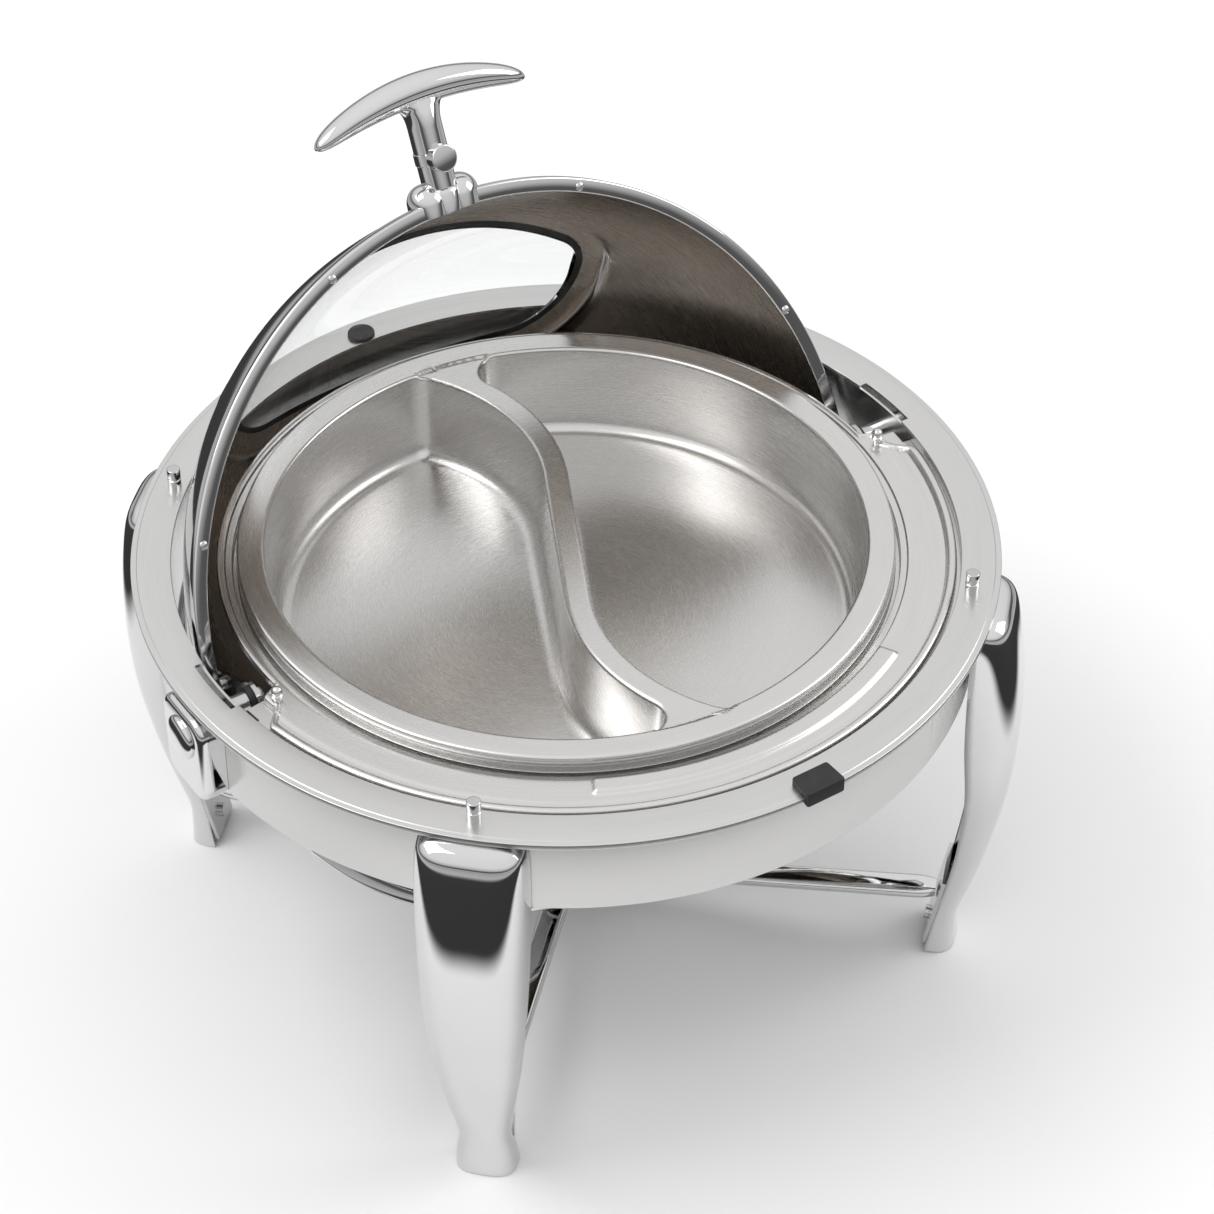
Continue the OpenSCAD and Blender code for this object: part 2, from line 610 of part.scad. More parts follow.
rim_ring();
skirt_band();
liner_band();
pan_ledge();
rim_studs();
front_bumper();
rear_bumper();
leg_front_left();
leg_front_right();
leg_back_right();
leg_back_left();
leg_brackets();
leg_bolts();
leg_nuts();
foot_glides();
bar_front_left();
bar_front_right();
bar_back_right();
bar_back_left();
bar_hub();
bar_plates();
plate_screws();
hinge_cover_left();
hinge_cover_right();
hinge_caps();
hinge_barrel_left();
hinge_barrel_right();
water_pan();
pan_pins();
food_pan();
lid_dome();
lid_rim();
rim_rivets();
window_glass();
window_gasket();
handle_saddle();
handle_post();
handle_grip();
stop_lug();
handle_screw();
hinge_arm_left();
hinge_arm_right();
hinge_pin_left();
hinge_pin_right();
arm_screws();
hinge_washers();
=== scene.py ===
import json
import math

import bmesh
import bpy
import numpy as np
from mathutils import Matrix, Vector


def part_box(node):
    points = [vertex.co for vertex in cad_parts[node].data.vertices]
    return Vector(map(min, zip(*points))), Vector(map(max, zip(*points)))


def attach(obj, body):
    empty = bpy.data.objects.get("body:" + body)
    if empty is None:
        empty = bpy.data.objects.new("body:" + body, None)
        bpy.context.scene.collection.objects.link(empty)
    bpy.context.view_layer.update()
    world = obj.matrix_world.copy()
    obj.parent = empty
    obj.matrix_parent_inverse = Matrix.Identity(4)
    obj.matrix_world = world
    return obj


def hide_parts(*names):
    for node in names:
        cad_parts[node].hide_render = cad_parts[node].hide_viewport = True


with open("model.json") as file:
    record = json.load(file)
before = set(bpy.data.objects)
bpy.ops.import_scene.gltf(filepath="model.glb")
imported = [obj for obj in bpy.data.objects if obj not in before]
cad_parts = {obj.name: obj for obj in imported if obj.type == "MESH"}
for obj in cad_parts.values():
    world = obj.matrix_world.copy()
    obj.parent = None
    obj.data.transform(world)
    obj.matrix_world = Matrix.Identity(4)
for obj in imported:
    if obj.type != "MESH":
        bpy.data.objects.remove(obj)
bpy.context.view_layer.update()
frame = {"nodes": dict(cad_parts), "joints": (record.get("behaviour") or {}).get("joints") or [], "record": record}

metre = 0.001                                # the sizes below are in millimetres
bodyStand, bodyLid, bodyPan = "stand", "lid", "food_pan_body"


def nodeBox(node):                           # lowest and highest corner of a CAD node, in mm
    low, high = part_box(node)
    return np.array(low) / metre, np.array(high) / metre


ringTop = float(nodeBox("rim_ring")[1][2])
ringRadius = float(nodeBox("rim_ring")[1][0])
skirtRadius = float(nodeBox("skirt_band")[1][0])
rollJoint = [j for j in frame["joints"] if j["name"] == "lid_roll"][0]
hinge = np.array([0, 0, rollJoint["pos_m"][2] / metre])
lidOpen = math.radians(-rollJoint["range_deg"][0])


def smoothStep(low, high, x):                # 0 below low, 1 above high, a cubic between
    t = np.clip((x - low) / (high - low), 0, 1)
    return t * t * (3 - 2 * t)


def pathLength(points):                      # running length along a polyline
    return np.concatenate([[0], np.cumsum(np.linalg.norm(np.diff(points, axis=0), axis=1))])


def resample(points, count):                 # the same polyline with evenly spaced points
    along = pathLength(points)
    wanted = np.linspace(0, along[-1], count)
    return np.stack([np.interp(wanted, along, points[:, k]) for k in range(points.shape[1])], -1)


def roundedCorners(corners, steps=5, closed=True):
    # corners are [u, v, radius]: each corner becomes an arc tangent to both of its sides
    points = np.array([c[:2] for c in corners], float)
    out = []
    for k, here in enumerate(points):
        radius = corners[k][2] if len(corners[k]) > 2 else 0
        if radius == 0 or (not closed and k in (0, len(points) - 1)):
            out.append(here[None])
            continue
        back = points[k - 1] - here
        ahead = points[(k + 1) % len(points)] - here
        back, ahead = back / np.linalg.norm(back), ahead / np.linalg.norm(ahead)
        half = math.acos(float(np.clip(back @ ahead, -1, 1))) / 2
        middle = back + ahead
        centre = here + middle / np.linalg.norm(middle) * radius / math.sin(half)
        first = here + back * radius / math.tan(half) - centre
        last = here + ahead * radius / math.tan(half) - centre
        start = math.atan2(first[1], first[0])
        sweep = (math.atan2(last[1], last[0]) - start + math.pi) % (2 * math.pi) - math.pi
        turn = start + sweep * np.linspace(0, 1, steps + 1)
        out.append(centre + radius * np.stack([np.cos(turn), np.sin(turn)], -1))
    return np.vstack(out)


def roundedBox(width, height, radius, steps=8):  # closed outline of a rectangle with round corners
    w, h = width / 2, height / 2
    corners = [[w, -h, radius], [w, h, radius], [-w, h, radius], [-w, -h, radius]]
    return roundedCorners(corners, steps)


def revolved(profile, angles):
    # rows are azimuths and columns the profile's points: x = r cos a, y = r sin a, z as given
    a = np.asarray(angles)[:, None]
    r, z = profile[:, 0][None], profile[:, 1][None]
    return np.stack([r * np.cos(a), r * np.sin(a), z + 0 * a], -1)


def fullTurn(count):
    return np.linspace(0, 2 * math.pi, count, endpoint=False)


def turnAbout(points, azimuth, at=0.0):      # slide out along X, then turn about the Z axis
    c, s = math.cos(azimuth), math.sin(azimuth)
    x = points[..., 0] + at
    return np.stack([x * c - points[..., 1] * s, x * s + points[..., 1] * c, points[..., 2]], -1)


def swapAxes(points, order, signs=(1, 1, 1)):
    return points[..., list(order)] * np.array(signs)


def openedLid(points):                       # turn the closed lid about the hinge axis to rest
    c, s = math.cos(-lidOpen), math.sin(-lidOpen)
    x, y, z = points[..., 0], points[..., 1], points[..., 2]
    return np.stack([x, y * c - z * s, y * s + z * c], -1) + hinge


def gridQuads(rows, columns, closeRows, closeColumns, start):
    i = np.arange(rows if closeRows else rows - 1)
    j = np.arange(columns if closeColumns else columns - 1)
    a, b = np.meshgrid(i, j, indexing="ij")
    c, d = (a + 1) % rows, (b + 1) % columns
    corners = [a * columns + b, c * columns + b, c * columns + d, a * columns + d]
    return start + np.stack(corners, -1).reshape(-1, 4)


class Sheets:                                # grids of points that together make one piece
    def __init__(self):
        self.points, self.quads, self.count = [], [], 0

    def add(self, grid, closeRows=False, closeColumns=False):
        rows, columns = grid.shape[:2]
        self.points.append(grid.reshape(-1, 3))
        self.quads.append(gridQuads(rows, columns, closeRows, closeColumns, self.count))
        self.count += rows * columns
        return self


def makePiece(name, sheets, finish, body, nodes, wall=0.0, sharpAbove=38, merge=0.004):
    mesh = bpy.data.meshes.new(name)
    points, quads = np.vstack(sheets.points) * metre, np.vstack(sheets.quads)
    mesh.from_pydata(points.tolist(), [], quads.tolist())
    tidy = bmesh.new()
    tidy.from_mesh(mesh)
    bmesh.ops.remove_doubles(tidy, verts=tidy.verts, dist=merge * metre)
    bmesh.ops.recalc_face_normals(tidy, faces=tidy.faces)
    tidy.to_mesh(mesh)
    tidy.free()
    piece = bpy.data.objects.new(name, mesh)
    bpy.context.scene.collection.objects.link(piece)
    mesh.materials.append(finish)
    mesh.polygons.foreach_set("use_smooth", np.ones(len(mesh.polygons), bool))
    mesh.set_sharp_from_angle(angle=math.radians(sharpAbove))
    if wall:
        thick = piece.modifiers.new("wall", "SOLIDIFY")
        thick.thickness = wall * metre
        thick.offset = -1
    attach(piece, body)
    if nodes:
        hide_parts(*nodes)
    return piece


class Wire:                                  # an output socket that can stand in a sum
    def __init__(self, finish, socket):
        self.finish, self.socket = finish, socket

    def maths(self, operation, first, second):
        return self.finish.node("ShaderNodeMath", {"operation": operation}, {0: first, 1: second})

    def __add__(self, other):
        return self.maths("ADD", self, other)

    def __radd__(self, other):
        return self.maths("ADD", other, self)

    def __sub__(self, other):
        return self.maths("SUBTRACT", self, other)

    def __rsub__(self, other):
        return self.maths("SUBTRACT", other, self)

    def __mul__(self, other):
        return self.maths("MULTIPLY", self, other)

    def __rmul__(self, other):
        return self.maths("MULTIPLY", other, self)

    def __truediv__(self, other):
        return self.maths("DIVIDE", self, other)

    def __rtruediv__(self, other):
        return self.maths("DIVIDE", other, self)

    def __pow__(self, other):
        return self.maths("POWER", self, other)


class Finish:                                # a node tree with one way of adding nodes
    def __init__(self, tree):
        self.tree = tree

    def join(self, socket, value):
        if isinstance(value, Wire):
            self.tree.links.new(value.socket, socket)
        else:
            socket.default_value = value

    def node(self, kind, settings=None, inputs=None, output=0):
        made = self.tree.nodes.new(kind)
        for key, value in (settings or {}).items():
            if key == "stops":
                ramp = made.color_ramp.elements
                while len(ramp) < len(value):
                    ramp.new(0.5)
                for element, (place, shade) in zip(ramp, value):
                    element.position = place
                    element.color = (shade, shade, shade, 1)
            else:
                setattr(made, key, value)
        for key, value in (inputs or {}).items():
            self.join(made.inputs[key], value)
        return Wire(self, made.outputs[output])

    def clamp(self, value):                  # held between 0 and 1
        return self.node("ShaderNodeClamp", None, {"Value": value})

    def step(self, value, low, high):        # 0 below low and 1 above high, smooth between
        return self.node("ShaderNodeMapRange", {"interpolation_type": "SMOOTHSTEP"},
                         {"Value": value, "From Min": low, "From Max": high})

    def noise(self, vector, scale, detail):
        return self.node("ShaderNodeTexNoise", None,
                         {"Vector": vector, "Scale": scale, "Detail": detail}, "Fac")

    def blend(self, amount, first, second):  # a mix of two colours
        return self.node("ShaderNodeMix", {"data_type": "RGBA"},
                         {0: amount, 6: first, 7: second}, 2)

    def bump(self, strength, distance, height):
        return self.node("ShaderNodeBump", None,
                         {"Strength": strength, "Distance": distance, "Height": height})


def newMaterial(name):
    material = bpy.data.materials.new(name)
    material.use_nodes = True
    finish = Finish(material.node_tree)
    shader = material.node_tree.nodes["Principled BSDF"]
    coordinates = finish.node("ShaderNodeTexCoord", None, None, "Object")
    return material, finish, shader, coordinates


def tint(shade, warmth=0.0):                 # a grey that leans warm or cool
    return (shade * (1 + warmth), shade, shade * (1 - warmth), 1)


def spunSteel(name, look, centre=None, turn=0.0):
    # brush lines round the Z axis: noise that is fine across the circle and long along it
    material, finish, shader, place = newMaterial(name)
    if centre is not None:                   # measure on the closed lid
        back = Matrix.Rotation(turn, 3, "X") @ Vector(centre)
        place = finish.node("ShaderNodeMapping", None,
                            {"Vector": place, "Location": tuple(-back), "Rotation": (turn, 0, 0)})
    parts = finish.node("ShaderNodeSeparateXYZ", None, {"Vector": place})
    x, y, z = (Wire(finish, socket) for socket in parts.socket.node.outputs)
    radius = (x * x + y * y) ** 0.5 + 0.0001
    across = radius + z * look["alongZ"]

    def aroundCircle(scale, long):           # fine across the circle, long along it
        return finish.node("ShaderNodeCombineXYZ", None,
                           {0: across * scale, 1: x / radius * long, 2: y / radius * long})

    lines = finish.noise(aroundCircle(look["fine"], look["long"]), 1.0, 3.0)
    bands = finish.noise(aroundCircle(look["broad"], look["broadLong"]), 1.0, 2.0)
    smudge = finish.noise(place, look["smudge"], 3.0)
    marks = lines * 0.6 + bands * 0.25 + smudge * 0.15
    shade = finish.blend(finish.clamp(marks * 1.6 - 0.3), tint(look["dark"], look["warmth"]),
                         tint(look["light"], look["warmth"]))
    rough = look["rough"] + (marks - 0.5) * look["roughSpread"]
    if centre is not None:                   # outside the wall it is polished, inside it is satin
        gap = (x * x + y * y + z * z) ** 0.5
        shell, half = look["shell"], look["shellHalf"]
        outside = finish.step(gap, shell - half, shell + half)
        shade = finish.blend(outside, shade, tint(look["polished"]))
        polish = look["polishRough"] + smudge * look["polishSpread"]
        rough = finish.clamp(rough * (1 - outside) + outside * polish)
    finish.join(shader.inputs["Base Color"], shade)
    finish.join(shader.inputs["Roughness"], rough)
    shader.inputs["Metallic"].default_value = 1
    finish.join(shader.inputs["Normal"], finish.bump(look["bump"], look["bumpDeep"], lines))
    return material


def mirrorSteel(name, look):
    # polished steel: a low roughness that smudges raise, and a slow waviness from polishing
    material, finish, shader, place = newMaterial(name)
    smudge = finish.noise(place, look["smudge"], 4.0)
    hair = finish.noise(place, look["hair"], 2.0)
    finish.join(shader.inputs["Base Color"],
                finish.blend(smudge, tint(look["dark"]), tint(look["light"])))
    smears = finish.step(smudge, 0.5, 0.8) * look["roughSpread"]
    finish.join(shader.inputs["Roughness"], look["rough"] + smears + hair * look["hairRough"])
    shader.inputs["Metallic"].default_value = 1
    wave = finish.noise(place, look["wave"], 1.0)
    finish.join(shader.inputs["Normal"], finish.bump(look["bump"], look["bumpDeep"], wave))
    return material


def rubberFinish(name, look):
    # a fine grain in the roughness and bump, and paler dust in patches
    material, finish, shader, place = newMaterial(name)
    grain = finish.noise(place, look["grain"], 3.0)
    dust = finish.noise(place, look["dust"], 2.0)
    finish.join(shader.inputs["Base Color"],
                finish.blend(finish.step(dust, 0.45, 0.75), tint(look["dark"]),
                             tint(look["light"])))
    finish.join(shader.inputs["Roughness"], look["rough"] + grain * look["roughSpread"])
    finish.join(shader.inputs["Normal"], finish.bump(look["bump"], look["bumpDeep"], grain))
    return material


def glassFinish(name, look):
    # clear glass that faint smears make a little rough and a little grey
    material, finish, shader, place = newMaterial(name)
    smear = finish.noise(place, look["smear"], 3.0)
    finish.join(shader.inputs["Roughness"], finish.step(smear, 0.45, 0.85) * look["rough"])
    finish.join(shader.inputs["Base Color"], finish.blend(smear, look["smeared"], (1, 1, 1, 1)))
    shader.inputs["Transmission Weight"].default_value = 1
    shader.inputs["IOR"].default_value = look["ior"]
    return material


spunLook = {"fine": 2600, "long": 6, "broad": 130, "broadLong": 3, "alongZ": 1.0, "smudge": 9,
            "dark": 0.60, "light": 0.70, "warmth": 0.008, "rough": 0.30, "roughSpread": 0.10,
            "bump": 0.035, "bumpDeep": 0.0002}
ringFinish = spunSteel("brushedRing", spunLook)
bandFinish = spunSteel("brushedBand", {**spunLook, "rough": 0.25, "light": 0.69})
panFinish = spunSteel("satinPan", {**spunLook, "fine": 1700, "rough": 0.27, "warmth": 0.016,
                                   "dark": 0.62, "light": 0.71})
# the lid's warmth of 0.10 tints its satin inside: a painted warm reflection of the food in the pan, which is not
# modelled
lidLook = {**spunLook, "fine": 1600, "rough": 0.27, "dark": 0.48, "light": 0.59, "warmth": 0.10,
           "shell": 0.2202, "shellHalf": 0.0004, "polished": 0.70, "polishRough": 0.045,
           "polishSpread": 0.05}
lidFinish = spunSteel("lidSteel", lidLook, centre=tuple(hinge * metre), turn=lidOpen)
mirrorLook = {"smudge": 14, "hair": 900, "hairRough": 0.012, "dark": 0.66, "light": 0.73,
              "rough": 0.035, "roughSpread": 0.05, "wave": 22, "bump": 0.05, "bumpDeep": 0.002}
mirrorFinish = mirrorSteel("mirrorSteel", mirrorLook)
hardwareFinish = mirrorSteel("turnedHardware", {**mirrorLook, "dark": 0.50, "light": 0.62,
                                                "rough": 0.16, "smudge": 60})
blackRubber = rubberFinish("blackRubber", {"grain": 1600, "dust": 40, "dark": 0.012, "light": 0.035,
                                           "rough": 0.5, "roughSpread": 0.2, "bump": 0.35,
                                           "bumpDeep": 0.0003})
clearGlass = glassFinish("clearGlass", {"smear": 18, "smeared": (0.96, 0.98, 0.98, 1),
                                        "rough": 0.05, "ior": 1.45})
slotFinish = {"brushed_ring": ringFinish, "brushed_band": bandFinish, "mirror_steel": mirrorFinish,
              "lid_steel": lidFinish, "satin_pan": panFinish, "plain_hardware": hardwareFinish,
              "clear_glass": clearGlass, "black_rubber": blackRubber}
for row in frame["record"]["subparts"]:
    cadNode = frame["nodes"][row["node"]]
    cadNode.data.materials.clear()
    cadNode.data.materials.append(slotFinish[row["material_slot"]])
print("finishes made")


ringSettings = {"inner": 227, "plate": 2, "lip": 4, "notchReach": 232, "notchHalf": 21,
                "notchWall": 0.0006, "edge": 1.2, "stepIn": 3.2, "stepDrop": 0.35, "around": 720}


def ringPiece(s):
    # a closed profile turned about Z, whose inner edge steps out to the notch beside each hinge
    outer, plate, edge = ringRadius, s["plate"], ringRadius - s["stepIn"]
    profile = roundedCorners([
        [s["inner"], -plate, 0.4], [outer - plate, -plate, 0], [outer - plate, -s["lip"], 0.4],
        [outer, -s["lip"], 0.5], [outer, -s["stepDrop"], s["edge"] / 3],
        [edge, -s["stepDrop"], 0.15], [edge - 0.4, 0, 0.15], [s["inner"], 0, 0.6]])
    notchTurn = math.asin(s["notchHalf"] / s["notchReach"])
    angles = fullTurn(s["around"])
    walls = [side * notchTurn + base + half for base in (0, math.pi) for side in (-1, 1)
             for half in (-s["notchWall"], s["notchWall"])]
    angles = np.sort(np.concatenate([angles, np.mod(walls, 2 * math.pi)]))
    offAxis = np.abs((angles + math.pi / 2) % math.pi - math.pi / 2)
    grid = revolved(profile, angles)
    inner = (profile[:, 0] < s["inner"] + 2)[None] & (offAxis < notchTurn)[:, None]
    push = np.where(inner, s["notchReach"] - s["inner"], 0)[..., None]
    outward = np.stack([np.cos(angles), np.sin(angles), 0 * angles], -1)[:, None]
    grid = grid + push * outward + np.array([0, 0, ringTop])
    return makePiece("topRing", Sheets().add(grid, True, True), ringFinish, bodyStand,
                     ["rim_ring"], sharpAbove=25)


bandSettings = {"wall": 1.5, "skirtDrop": 59, "linerIn": 227, "linerDrop": 48, "top": -2,
                "around": 480, "seamAt": math.radians(-65), "seamHalf": 0.0016, "seamDeep": 0.45}


def skirtPiece(s):
    # a band whose outer face has one narrow groove where the sheet meets itself
    outer, inner, low = skirtRadius, skirtRadius - s["wall"], -s["skirtDrop"]
    profile = roundedCorners([[inner, low, 0.5], [outer, low, 0.6], [outer, s["top"], 0],
                              [inner, s["top"], 0]])
    seam = s["seamAt"] + s["seamHalf"] * np.linspace(-1.5, 1.5, 9)
    angles = np.sort(np.mod(np.concatenate([fullTurn(s["around"]), seam]), 2 * math.pi))
    grid = revolved(profile, angles)
    near = np.abs((angles - s["seamAt"] + math.pi) % (2 * math.pi) - math.pi) / s["seamHalf"]
    groove = s["seamDeep"] * np.clip(1 - near, 0, 1)[:, None] * (profile[:, 0] > outer - 0.7)[None]
    outward = np.stack([np.cos(angles), np.sin(angles), 0 * angles], -1)[:, None]
    grid = grid - groove[..., None] * outward + np.array([0, 0, ringTop])
    return makePiece("skirtBand", Sheets().add(grid, True, True), bandFinish, bodyStand,
                     ["skirt_band"])


def linerPiece(s):
    # a thin upright rectangle, its lower corners round, turned about Z
    inner, outer, low = s["linerIn"], s["linerIn"] + s["wall"], -s["linerDrop"]
    profile = roundedCorners([[inner, low, 0.5], [outer, low, 0.5], [outer, s["top"], 0],
                              [inner, s["top"], 0]])
    grid = revolved(profile, fullTurn(s["around"])) + np.array([0, 0, ringTop])
    return makePiece("linerBand", Sheets().add(grid, True, True), bandFinish, bodyStand,
                     ["liner_band"])


studSettings = {"radius": 4, "high": 13, "grooveAt": 6.5, "grooveHalf": 0.9, "grooveDeep": 0.7,
                "circle": 234.5, "angles": [-135, -45, 45, 135]}


def turnedPin(profile, azimuth, at, low):    # a turned pin that stands at one azimuth of a circle
    grid = revolved(profile, fullTurn(48))
    return turnAbout(grid, math.radians(azimuth), at) + np.array([0, 0, low])


def studPiece(s):
    # a round bar with one groove part way up, turned about its own axis
    g, h, r, waist = s["grooveAt"], s["grooveHalf"], s["radius"], s["radius"] - s["grooveDeep"]
    profile = roundedCorners([
        [0, 0, 0], [r, 0, 0], [r, g - h, 0.15], [waist, g - h / 2, 0.1], [waist, g + h / 2, 0.1],
        [r, g + h, 0.15], [r, s["high"], 0.7], [0, s["high"], 0]], closed=False)
    sheets = Sheets()
    for azimuth in s["angles"]:
        sheets.add(turnedPin(profile, azimuth, s["circle"], ringTop), True, False)
    return makePiece("rimStuds", sheets, hardwareFinish, bodyStand, ["rim_studs"])


acornSettings = {"azimuths": [-6.9, -173.1], "circle": 206.5, "shank": 2.2, "head": 3.2,
                 "headLow": 5, "high": 12.2}


def acornPiece(s):
    # a thin shank, a collar, and a head that rises to a blunt tip like an acorn
    turn = np.linspace(0, math.pi / 2, 9)
    wide, shank, low = s["head"], s["shank"], s["headLow"]
    head = np.stack([wide * np.cos(turn) ** 0.8,
                     s["high"] - wide + wide * np.sin(turn) ** 1.1], -1)
    stem = np.array([[0, 0], [shank, 0], [shank, low], [wide, low + 0.5], [wide, low + 2],
                     [shank + 0.3, low + 2.6]])
    foot = float(nodeBox("pan_pins")[0][2])
    sheets = Sheets()
    for azimuth in s["azimuths"]:
        sheets.add(turnedPin(np.vstack([stem, head]), azimuth, s["circle"], foot), True, False)
    return makePiece("panPins", sheets, mirrorFinish, bodyStand, ["pan_pins"])


bumperSettings = {"half": 12, "inner": 237, "outer": 253.5, "up": 5, "down": 5, "ringGap": 0.1,
                  "round": 1.4, "endShrink": 0.1, "rearRadius": 8.5, "rearHigh": 3, "rearLow": 0.05,
                  "rearAt": 234.5, "rearAzimuth": 90}


def bumperPiece(s):
    # an L-shaped profile over the ring's edge, carried round the ring and drawn in at both ends
    inner, outer, soft = s["inner"], s["outer"], s["round"]
    edge = ringRadius + s["ringGap"]
    profile = roundedCorners([[inner, s["ringGap"], 0.3], [inner, s["up"], soft],
                              [outer, s["up"], soft], [outer, -s["down"], soft],
                              [edge, -s["down"], 0.5], [edge, s["ringGap"], 0]])
    middle = np.array([(inner + outer) / 2 + 2, s["up"] / 2])
    turn = np.linspace(0, math.pi / 2, 6)
    size = 1 - s["endShrink"] * (1 - np.sin(turn))
    drawn = np.concatenate([[0.0], size, size[::-1], [0.0]])
    end = (s["half"] - soft + soft * np.concatenate([[1], np.cos(turn)])) / outer
    along = np.concatenate([-end, end[::-1]]) - math.pi / 2
    rows = middle + (profile[None] - middle) * drawn[:, None, None]
    a = along[:, None]
    r, z = rows[..., 0], rows[..., 1]
    grid = np.stack([r * np.cos(a), r * np.sin(a), z + ringTop], -1)
    return makePiece("frontBumper", Sheets().add(grid, False, True), blackRubber, bodyStand,
                     ["front_bumper"], sharpAbove=50)


def rearBumperPiece(s):
    # a low disc with a round upper edge, turned about its own axis
    r, low, high = s["rearRadius"], s["rearLow"], s["rearHigh"]
    profile = roundedCorners([[0, low, 0], [r, low, 0.3], [r, high, 1.1], [0, high, 0]],
                             closed=False)
    grid = turnedPin(profile, s["rearAzimuth"], s["rearAt"], ringTop)
    return makePiece("rearBumper", Sheets().add(grid, True, False), blackRubber, bodyStand,
                     ["rear_bumper"])


legSettings = {
    # height, half width, outer radius, radius of the open edge
    "stations": [[0.4, 18.4, 244, 226.4], [13, 17.6, 243.4, 228.5], [27, 15.6, 243.8, 230.8],
                 [40, 16.4, 246.8, 233], [62, 19.4, 252.8, 236.8], [95, 24, 260, 241],
                 [140, 28.2, 267.5, 243.3], [185, 30.2, 270, 240.5], [225, 31, 268, 239.5],
                 [262, 30.5, 262.5, 239.3], [273, 27, 257, 239.3], [276.8, 17, 248, 239.3]],
    "steps": 8, "around": 48, "squareness": 0.62, "wall": 2,
    "legs": {"legFrontLeft": ("leg_front_left", -135), "legFrontRight": ("leg_front_right", -45),
             "legBackRight": ("leg_back_right", 45), "legBackLeft": ("leg_back_left", 135)}}


def smoothRows(stations, steps):             # a Catmull-Rom curve through the rows of a table
    s = np.array(stations, float)
    before = np.vstack([s[:1], s[:-2]])
    after = np.vstack([s[2:], s[-1:]])
    t = (np.arange(steps) / steps)[None, :, None]
    a, b, c, d = (v[:, None] for v in (before, s[:-1], s[1:], after))
    rows = 0.5 * (2 * b + (c - a) * t + (2 * a - 5 * b + 4 * c - d) * t ** 2
                  + (3 * b - a - 3 * c + d) * t ** 3)
    return np.vstack([rows.reshape(-1, s.shape[1]), s[-1:]])


def legPiece(s, name):
    # D-shaped sections stacked up the leg; the last rows fold the top in to the skirt
    node, azimuth = s["legs"][name]
    rows = smoothRows(s["stations"], s["steps"])
    fold = np.array([0.66, 0.33, 0.0])[:, None]
    height, half, outer, inner = rows[-1]
    top = np.concatenate([height + 0.1 + 0 * fold, half + 0 * fold,
                          inner + (outer - inner) * fold, inner + 0 * fold], 1)
    rows = np.vstack([rows, top])
    turn = np.linspace(-math.pi / 2, math.pi / 2, s["around"] + 1)[None]
    bulge = np.abs(np.cos(turn)) ** s["squareness"]
    aside = np.sign(np.sin(turn)) * np.abs(np.sin(turn)) ** s["squareness"]
    x = rows[:, 3:4] + (rows[:, 2:3] - rows[:, 3:4]) * bulge
    grid = np.stack([x, rows[:, 1:2] * aside, rows[:, 0:1] + 0 * aside], -1)
    return makePiece(name, Sheets().add(turnAbout(grid, math.radians(azimuth))), mirrorFinish,
                     bodyStand, [node], wall=s["wall"], sharpAbove=60)


barSettings = {"radius": 4, "half": 4.5, "atLegs": 39, "atHub": 15, "legRadius": 230,
               "reach": 229.4, "nose": 14, "noseRound": 20, "hubRadius": 20, "hubHigh": 18,
               "hubHole": 4,
               "bars": {"barFrontLeft": ("bar_front_left", -135),
                        "barFrontRight": ("bar_front_right", -45),
                        "barBackRight": ("bar_back_right", 45),
                        "barBackLeft": ("bar_back_left", 135)}}


def barPiece(s, name):
    # a flattened tube from the hub up to a plate, drawn in to a round nose at the plate
    node, azimuth = s["bars"][name]
    outline = roundedBox(2 * (s["half"] + s["radius"]), 2 * s["radius"], s["radius"] - 0.01, 10)
    start, end = s["hubRadius"] - 1.5, s["reach"]
    narrows = end - s["nose"]
    along = np.concatenate([[start], np.linspace(start + 4, narrows, 12),
                            end - s["nose"] * (1 - np.linspace(0.1, 1, 10))])
    nose = np.sqrt(np.clip(1 - ((along - narrows) / s["noseRound"]).clip(0, 1) ** 2, 0, 1))
    rise = s["atHub"] + (s["atLegs"] - s["atHub"]) * along / s["legRadius"]
    grid = np.stack([along[:, None] + 0 * outline[None, :, 0], outline[None, :, 0] * nose[:, None],
                     rise[:, None] + outline[None, :, 1] * (0.35 + 0.65 * nose[:, None])], -1)
    closeEnds = [np.repeat(grid[k].mean(0)[None, None], grid.shape[1], 1) for k in (0, -1)]
    grid = np.concatenate([closeEnds[0], grid, closeEnds[1]])
    return makePiece(name, Sheets().add(turnAbout(grid, math.radians(azimuth)), False, True),
                     mirrorFinish, bodyStand, [node])


def hubPiece(s):
    # a round-cornered rectangle beside a bore, turned about Z
    middle, hole, outer = s["atHub"] + 1, s["hubHole"], s["hubRadius"]
    low, high = middle - s["hubHigh"] / 2, middle + s["hubHigh"] / 2
    profile = roundedCorners([[hole, low, 0.6], [outer, low, 2], [outer, high, 2.5],
                              [hole, high, 0.6]])
    return makePiece("barHub", Sheets().add(revolved(profile, fullTurn(128)), True, True),
                     mirrorFinish, bodyStand, ["bar_hub"])


coverSettings = {"wide": 44, "high": 58, "round": 11, "fillet": 4, "outer": 253, "centreDown": 35,
                 "capRadius": 13, "capWall": 0.6, "capDown": 26}


